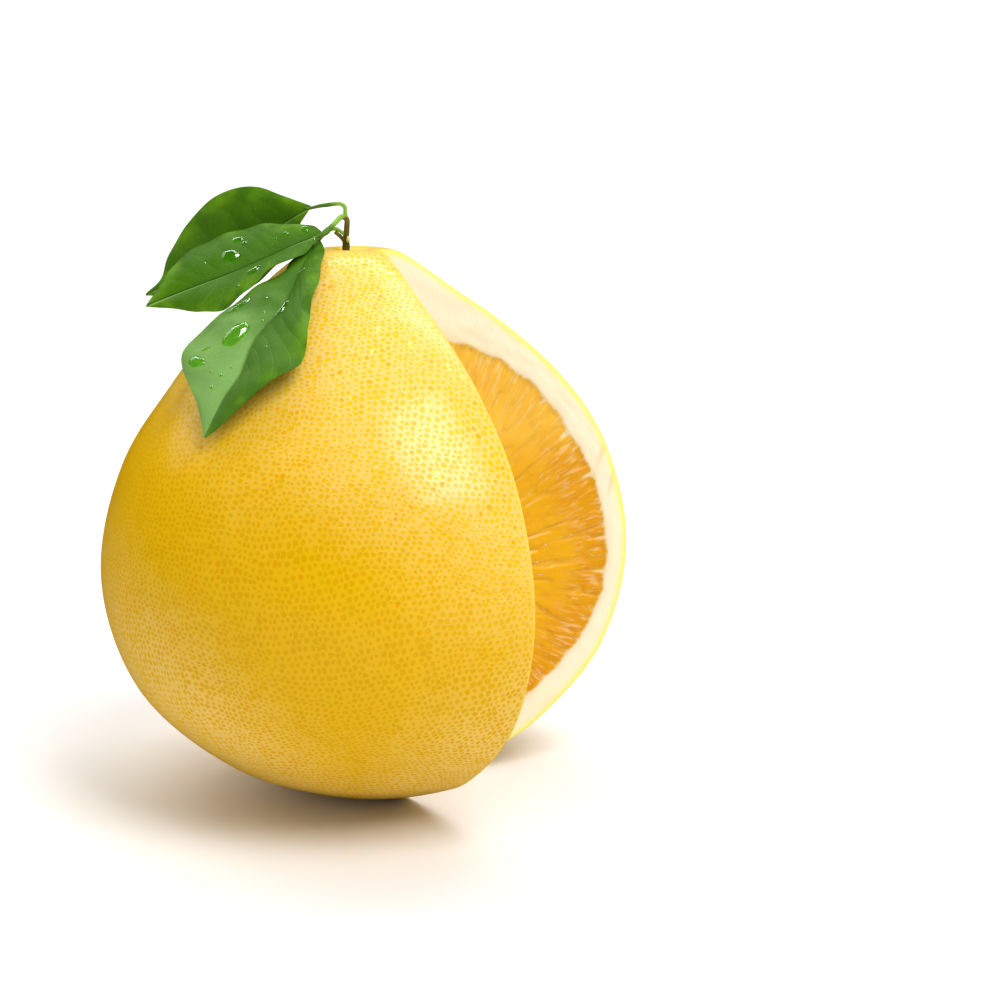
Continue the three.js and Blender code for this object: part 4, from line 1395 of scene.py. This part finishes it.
def under_finish(settings):
    """A leaf's underside, with raised pale veins."""
    finish = Finish("leaf underside", Subsurface_Weight=0.08, Subsurface_Scale=0.001, IOR=1.4)
    place = finish.place()
    _, (off_rib, phase, off_edge) = finish.attribute("veins")
    fine = finish.noise(place, 1.0, 3.0)
    side_vein = (phase.fraction() - 0.5).size() * -2 + 1
    veins = off_rib.size().rise(0.9, 0.4).at_least(side_vein.rise(0.14, 0.03) * off_edge.rise(0.4, 2.0))
    under = finish.mix(fine.rise(0.3, 0.8) * 0.4, settings.under, settings.dark)
    finish.feed("Base Color", finish.mix(veins * 0.6, under, settings.vein))
    finish.feed("Roughness", 0.55 + 0.15 * fine)
    finish.bump(veins * 0.7 + 0.3 * fine, depth=0.2)
    return finish.material


def bark_finish(name, start, end, begins, ends):
    """Bark whose colour changes along the rod, from one share of its length to another."""
    finish = Finish(name, Specular_IOR_Level=0.25, Coat_Weight=0.1, Coat_Roughness=0.3)
    place = finish.place()
    _, (share, _, _) = finish.attribute("course")
    streaks = finish.noise(finish.stretched(place, (1, 1, 0.25)), 0.5, 3.0, 0.6)
    body = finish.mix((share + 0.15 * (streaks - 0.5)).rise(begins, ends), start, end)
    shadow = tuple(0.5 * part for part in start)
    finish.feed("Base Color", finish.mix(streaks.rise(0.5, 0.8) * 0.4, body, shadow))
    finish.feed("Roughness", 0.5 + 0.25 * streaks)
    finish.bump(streaks, depth=0.12)
    return finish.material


def along(steps):
    """The share of the way along a rod, a row for each of its steps."""
    return np.linspace((0, 0, 0), (1, 0, 0), steps + 1)


class POMELO_OT_twig(bpy.types.Operator):
    """Make the twig with its broken side stub and its bud"""

    bl_idname = "pomelo.twig"
    bl_label = "Twig"

    def execute(self, context):
        settings = context.scene.pomelo_leaf
        soup = Soup()
        for rod in TWIG:
            swept(soup, **rod, values=along(rod["steps"]))
        points, faces, slots, values = soup.arrays()
        bark = bark_finish("twig bark", settings.bark, settings.bark_brown, 0.35, 1.0)
        bud = bark_finish("bud", settings.stalk, settings.bud, 0.2, 0.6)
        piece = make_piece("twig", points, faces, [bark, bud], slots, {"course": values}, sharp=60)
        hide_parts("stem")
        return {"FINISHED"}


class POMELO_OT_leaves(bpy.types.Operator):
    """Make the three leaves, each with its stalk"""

    bl_idname = "pomelo.leaves"
    bl_label = "Leaves"

    def execute(self, context):
        settings = context.scene.pomelo_leaf
        under = under_finish(settings)
        stalk = bark_finish("leaf stalk", settings.stalk, settings.stalk_dark, 0.35, 0.55)
        for node, form in LEAVES.items():
            sheet, veins, course = leaf_sheet(form)
            normals = sheet_normals(sheet)
            off_rib, off_edge = veins[..., 0], veins[..., 2]
            thick = settings.thickness / MM * (1 - THINNING * smoothstep(off_edge, THIN_EDGE, 0))
            rib_ridge = RIDGE_HEIGHT * np.exp(-(off_rib / RIDGE_WIDTH) ** 2)
            upper = sheet + normals * (thick / 2)[..., None]
            lower = sheet - normals * (thick / 2 + rib_ridge)[..., None]
            blade = np.concatenate([veins, course], axis=-1).reshape(-1, 6)
            soup = Soup(6)
            rows, columns = sheet.shape[:2]
            top = soup.add(upper.reshape(-1, 3), blade)
            bottom = soup.add(lower.reshape(-1, 3), blade)
            soup.cover(grid_faces(rows, columns, top), 0)
            soup.cover([face[::-1] for face in grid_faces(rows, columns, bottom)], 1)
            rim = list(range(columns))
            rim += [i * columns + columns - 1 for i in range(1, rows)]
            rim += [(rows - 1) * columns + j for j in range(columns - 2, -1, -1)]
            rim += [i * columns for i in range(rows - 2, 0, -1)]
            join_loops(soup, [top + i for i in rim], [bottom + i for i in rim], True, 0)
            course = np.pad(along(STALK["steps"]), ((0, 0), (3, 0)))
            swept(soup, form["stalk"], form["stalk_radii"], **STALK, values=course)
            points, faces, slots, values = soup.arrays()
            materials = [leaf_finish(f"{node} upper side", settings, form), under, stalk]
            values = {"veins": values[:, :3], "course": values[:, 3:]}
            piece = make_piece(f"{node}_blade", points, faces, materials, slots, values, sharp=60)
            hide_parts(node)
        return {"FINISHED"}


# ---------------------------------------------------------------- water


def leaf_spot(sheet, share, part, lift):
    """A place on a leaf, as a function that takes offsets in millimetres and gives points and normals."""
    normals = sheet_normals(sheet)
    rows, columns = sheet.shape[0] - 1, sheet.shape[1] - 1
    row, column = share * rows, (part + 1) / 2 * columns
    steps = [np.linalg.norm(np.gradient(sheet, axis=axis)[round(row), round(column)]) for axis in (0, 1)]

    def surface(ahead, aside):
        down = np.clip(row + ahead / steps[0], 0, rows - 0.001)
        across = np.clip(column + aside / steps[1], 0, columns - 0.001)
        normal = unit(grid_at(normals, down, across))
        return grid_at(sheet, down, across) + lift * normal, normal

    return surface


def skin_spot(table, travel, bearing):
    """A place on the skin, in the same form as leaf_spot; ahead is up the skin and aside is round it."""
    _, distance = skin_at(table, np.array([travel]), np.array([bearing]))

    def surface(ahead, aside):
        def at(up, across):
            return skin_at(table, travel + ahead + up, bearing + (aside + across) / distance[0])[0]

        normal = unit(np.cross(at(0, 0.3) - at(0, -0.3), at(0.3, 0) - at(-0.3, 0)))
        return at(0, 0), normal

    return surface


def drop(soup, surface, long, wide, turn, high, seed):
    """A drop of water: a low dome with a wider front end, whose foot follows what it lies on.

    The surface is a function as leaf_spot and skin_spot return it, and the turn is in degrees.
    """
    random = np.random.default_rng(seed)
    around = np.linspace(0, 2 * math.pi, DROP_SIDES, endpoint=False)
    first, second = random.uniform(0, 2 * math.pi, 2)
    outline = 1 + DROP_UNEVEN * np.cos(2 * around + first) + DROP_UNEVEN * np.cos(3 * around + second)
    if max(long, wide) > LARGE_DROP:
        outline = outline + DROP_UNEVEN * np.cos(5 * around + first)
    ahead = 0.5 * long * outline * np.cos(around)
    aside = 0.5 * wide * outline * np.sin(around) * (1 + DROP_FRONT * np.cos(around))
    across, forward = math.sin(math.radians(turn)), math.cos(math.radians(turn))
    ahead, aside = ahead * forward - aside * across, ahead * across + aside * forward
    out = np.sin(np.linspace(0, math.pi / 2, DROP_RINGS + 1))[1:, None]
    ahead, aside = (np.append(0, (out * part).ravel()) for part in (ahead, aside))
    heights = np.append(high, np.repeat(high * (1 - out ** 2) ** DROP_DOME, DROP_SIDES))
    heights[-DROP_SIDES:] = -DROP_SINK
    points, normals = surface(ahead, aside)
    top = soup.add(np.vstack([points + heights[:, None] * normals, points[:1] - 3 * DROP_SINK * normals[:1]]))
    last = top + 1 + (DROP_RINGS - 1) * DROP_SIDES
    bottom = last + DROP_SIDES
    next_side = [(i + 1) % DROP_SIDES for i in range(DROP_SIDES)]
    soup.cover([(top, top + 1 + next_side[i], top + 1 + i) for i in range(DROP_SIDES)])
    soup.cover(grid_faces(DROP_RINGS, DROP_SIDES, top + 1, around=True))
    soup.cover([(bottom, last + i, last + next_side[i]) for i in range(DROP_SIDES)])


def water_finish(name, tint, refraction, gloss):
    """Clear water with a glossy outer film."""
    finish = Finish(
        name, Base_Color=(*tint, 1), Roughness=0.02, IOR=refraction, Transmission_Weight=1.0,
        Coat_Weight=1.0, Coat_Roughness=0.03, Coat_IOR=gloss,
    )
    return finish.material


class POMELO_OT_water(bpy.types.Operator):
    """Make the drops of water on the two front leaves and on the skin"""

    bl_idname = "pomelo.water"
    bl_label = "Water drops"

    def execute(self, context):
        settings = context.scene.pomelo_water
        on_leaf = water_finish("water on leaves", settings.on_leaf, settings.ior, GLOSS_ON_LEAF)
        on_skin = water_finish("water on skin", settings.on_skin, settings.ior, GLOSS_ON_SKIN)
        lift = 0.5 * context.scene.pomelo_leaf.thickness / MM
        for node, drops in LEAF_DROPS.items():
            sheet, _, _ = leaf_sheet(LEAVES[node])
            soup = Soup()
            for seed, (share, part, *size) in enumerate(drops):
                drop(soup, leaf_spot(sheet, share, part, lift), *size, seed)
            self.finish(soup, f"water_{node}", on_leaf, "leaf")
        table = skin_table()
        soup = Soup()
        for seed, (travel, bearing, *size) in enumerate(SKIN_DROPS):
            drop(soup, skin_spot(table, travel, math.radians(bearing)), *size, seed)
        self.finish(soup, "water_skin", on_skin, "rind")
        return {"FINISHED"}

    def finish(self, soup, name, water, slot):
        points, faces, _, _ = soup.arrays()
        piece = make_piece(name, points, faces, [water], sharp=50)
        piece.visible_shadow = False


# ---------------------------------------------------------------- studio


class POMELO_OT_studio(bpy.types.Operator):
    """Make the pale floor with its backdrop, the soft lights and the camera"""

    bl_idname = "pomelo.studio"
    bl_label = "Studio"

    FLOOR_HALF = 1.6
    SWEEP_START = 0.9
    SWEEP_RADIUS = 0.5
    SWEEP_STEPS = 16
    BACKDROP_HEIGHT = 1.6
    CAMERA_PLACE = (0.0, -0.64558, 0.21757)
    CAMERA_TURN = (90 - 11.39, 0.0, -3.28)
    SENSOR_WIDTH = 36.0
    MIDDLE = (0.0, 0.0, 0.08)
    WALL = (0.0, 1.4, 0.3)
    # Each lamp's name, place, aim and size, and whether glossy surfaces show it.
    LAMPS = [
        ("key", (0.42, -0.56, 0.98), MIDDLE, (0.56, 0.76), True),
        ("side", (-0.9, -0.5, 0.3), MIDDLE, (0.8, 0.8), False),
        ("rim", (-0.7, 0.4, 0.75), MIDDLE, (0.6, 0.6), True),
        ("top", (0.0, 0.25, 1.25), MIDDLE, (1.2, 1.2), False),
        ("wall", (0.0, 0.55, 1.5), WALL, (2.0, 0.4), True),
    ]

    def backdrop(self, settings):
        """A floor that sweeps up into a wall behind the fruit."""
        start, radius = self.SWEEP_START, self.SWEEP_RADIUS
        turns = np.linspace(0, math.pi / 2, self.SWEEP_STEPS)
        bend = [(start + radius * math.sin(turn), radius * (1 - math.cos(turn))) for turn in turns]
        course = [(-self.FLOOR_HALF, 0.0), *bend, (start + radius, self.BACKDROP_HEIGHT)]
        points = [(x, y, z) for y, z in course for x in (-self.FLOOR_HALF, self.FLOOR_HALF)]
        mesh = bpy.data.meshes.new("floor")
        mesh.from_pydata(points, [], grid_faces(len(course), 2))
        mesh.shade_smooth()
        finish = Finish(
            "studio floor", Base_Color=(*settings.floor, 1), Roughness=0.9, Specular_IOR_Level=0.0
        )
        mesh.materials.append(finish.material)
        floor = bpy.data.objects.new("floor", mesh)
        floor.visible_glossy = False
        bpy.context.scene.collection.objects.link(floor)

    def lamp(self, name, place, target, size, power, shines):
        """A soft lamp that faces its target."""
        light = bpy.data.lights.new(name, "AREA")
        light.shape = "RECTANGLE"
        light.size, light.size_y = size
        light.energy = power
        lamp = bpy.data.objects.new(name, light)
        lamp.location = place
        lamp.rotation_euler = (Vector(target) - Vector(place)).to_track_quat("-Z", "Y").to_euler()
        lamp.visible_glossy = shines
        bpy.context.scene.collection.objects.link(lamp)

    def execute(self, context):
        scene = context.scene
        settings = scene.pomelo_studio
        self.backdrop(settings)
        world = bpy.data.worlds.new("studio")
        world.use_nodes = True
        sky = world.node_tree.nodes["Background"]
        sky.inputs["Color"].default_value = (1, 1, 1, 1)
        sky.inputs["Strength"].default_value = settings.sky
        scene.world = world
        world.cycles_visibility.glossy = False
        for name, place, target, size, shines in self.LAMPS:
            self.lamp(f"{name} light", place, target, size, getattr(settings, f"{name}_power"), shines)
        camera = bpy.data.cameras.new("camera")
        camera.lens = settings.lens
        camera.sensor_width = self.SENSOR_WIDTH
        seat = bpy.data.objects.new("camera", camera)
        seat.location = self.CAMERA_PLACE
        seat.rotation_euler = [math.radians(turn) for turn in self.CAMERA_TURN]
        scene.collection.objects.link(seat)
        scene.camera = seat
        scene.view_settings.view_transform = "Standard"
        return {"FINISHED"}


# ---------------------------------------------------------------- the add-on


class POMELO_PT_sidebar(bpy.types.Panel):
    """The sidebar panel that lists the pieces and their settings"""

    bl_idname = "POMELO_PT_sidebar"
    bl_label = "Cut pomelo"
    bl_space_type = "VIEW_3D"
    bl_region_type = "UI"
    bl_category = "Pomelo"

    def draw(self, context):
        for operators, name in STEPS:
            box = self.layout.box()
            for operator in operators:
                box.operator(f"pomelo.{operator}")
            settings = getattr(context.scene, name)
            for key in settings.bl_rna.properties.keys():
                if key not in ("rna_type", "name"):
                    box.prop(settings, key)


SETTINGS = {
    "pomelo_rind": PomeloRindSettings,
    "pomelo_flesh": PomeloFleshSettings,
    "pomelo_leaf": PomeloLeafSettings,
    "pomelo_water": PomeloWaterSettings,
    "pomelo_studio": PomeloStudioSettings,
}
STEPS = [
    (["rind"], "pomelo_rind"),
    (["flesh"], "pomelo_flesh"),
    (["twig", "leaves"], "pomelo_leaf"),
    (["water"], "pomelo_water"),
    (["studio"], "pomelo_studio"),
]
CLASSES = [
    *SETTINGS.values(), POMELO_OT_rind, POMELO_OT_flesh, POMELO_OT_twig, POMELO_OT_leaves, POMELO_OT_water,
    POMELO_OT_studio, POMELO_PT_sidebar,
]


def register():
    for made in CLASSES:
        bpy.utils.register_class(made)
    for name, kind in SETTINGS.items():
        setattr(bpy.types.Scene, name, PointerProperty(type=kind))


def unregister():
    for name in SETTINGS:
        delattr(bpy.types.Scene, name)
    for made in reversed(CLASSES):
        bpy.utils.unregister_class(made)


def main():
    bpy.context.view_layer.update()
    register()
    for operators, _ in STEPS:
        for operator in operators:
            getattr(bpy.ops.pomelo, operator)()


if __name__ == "__main__":
    main()
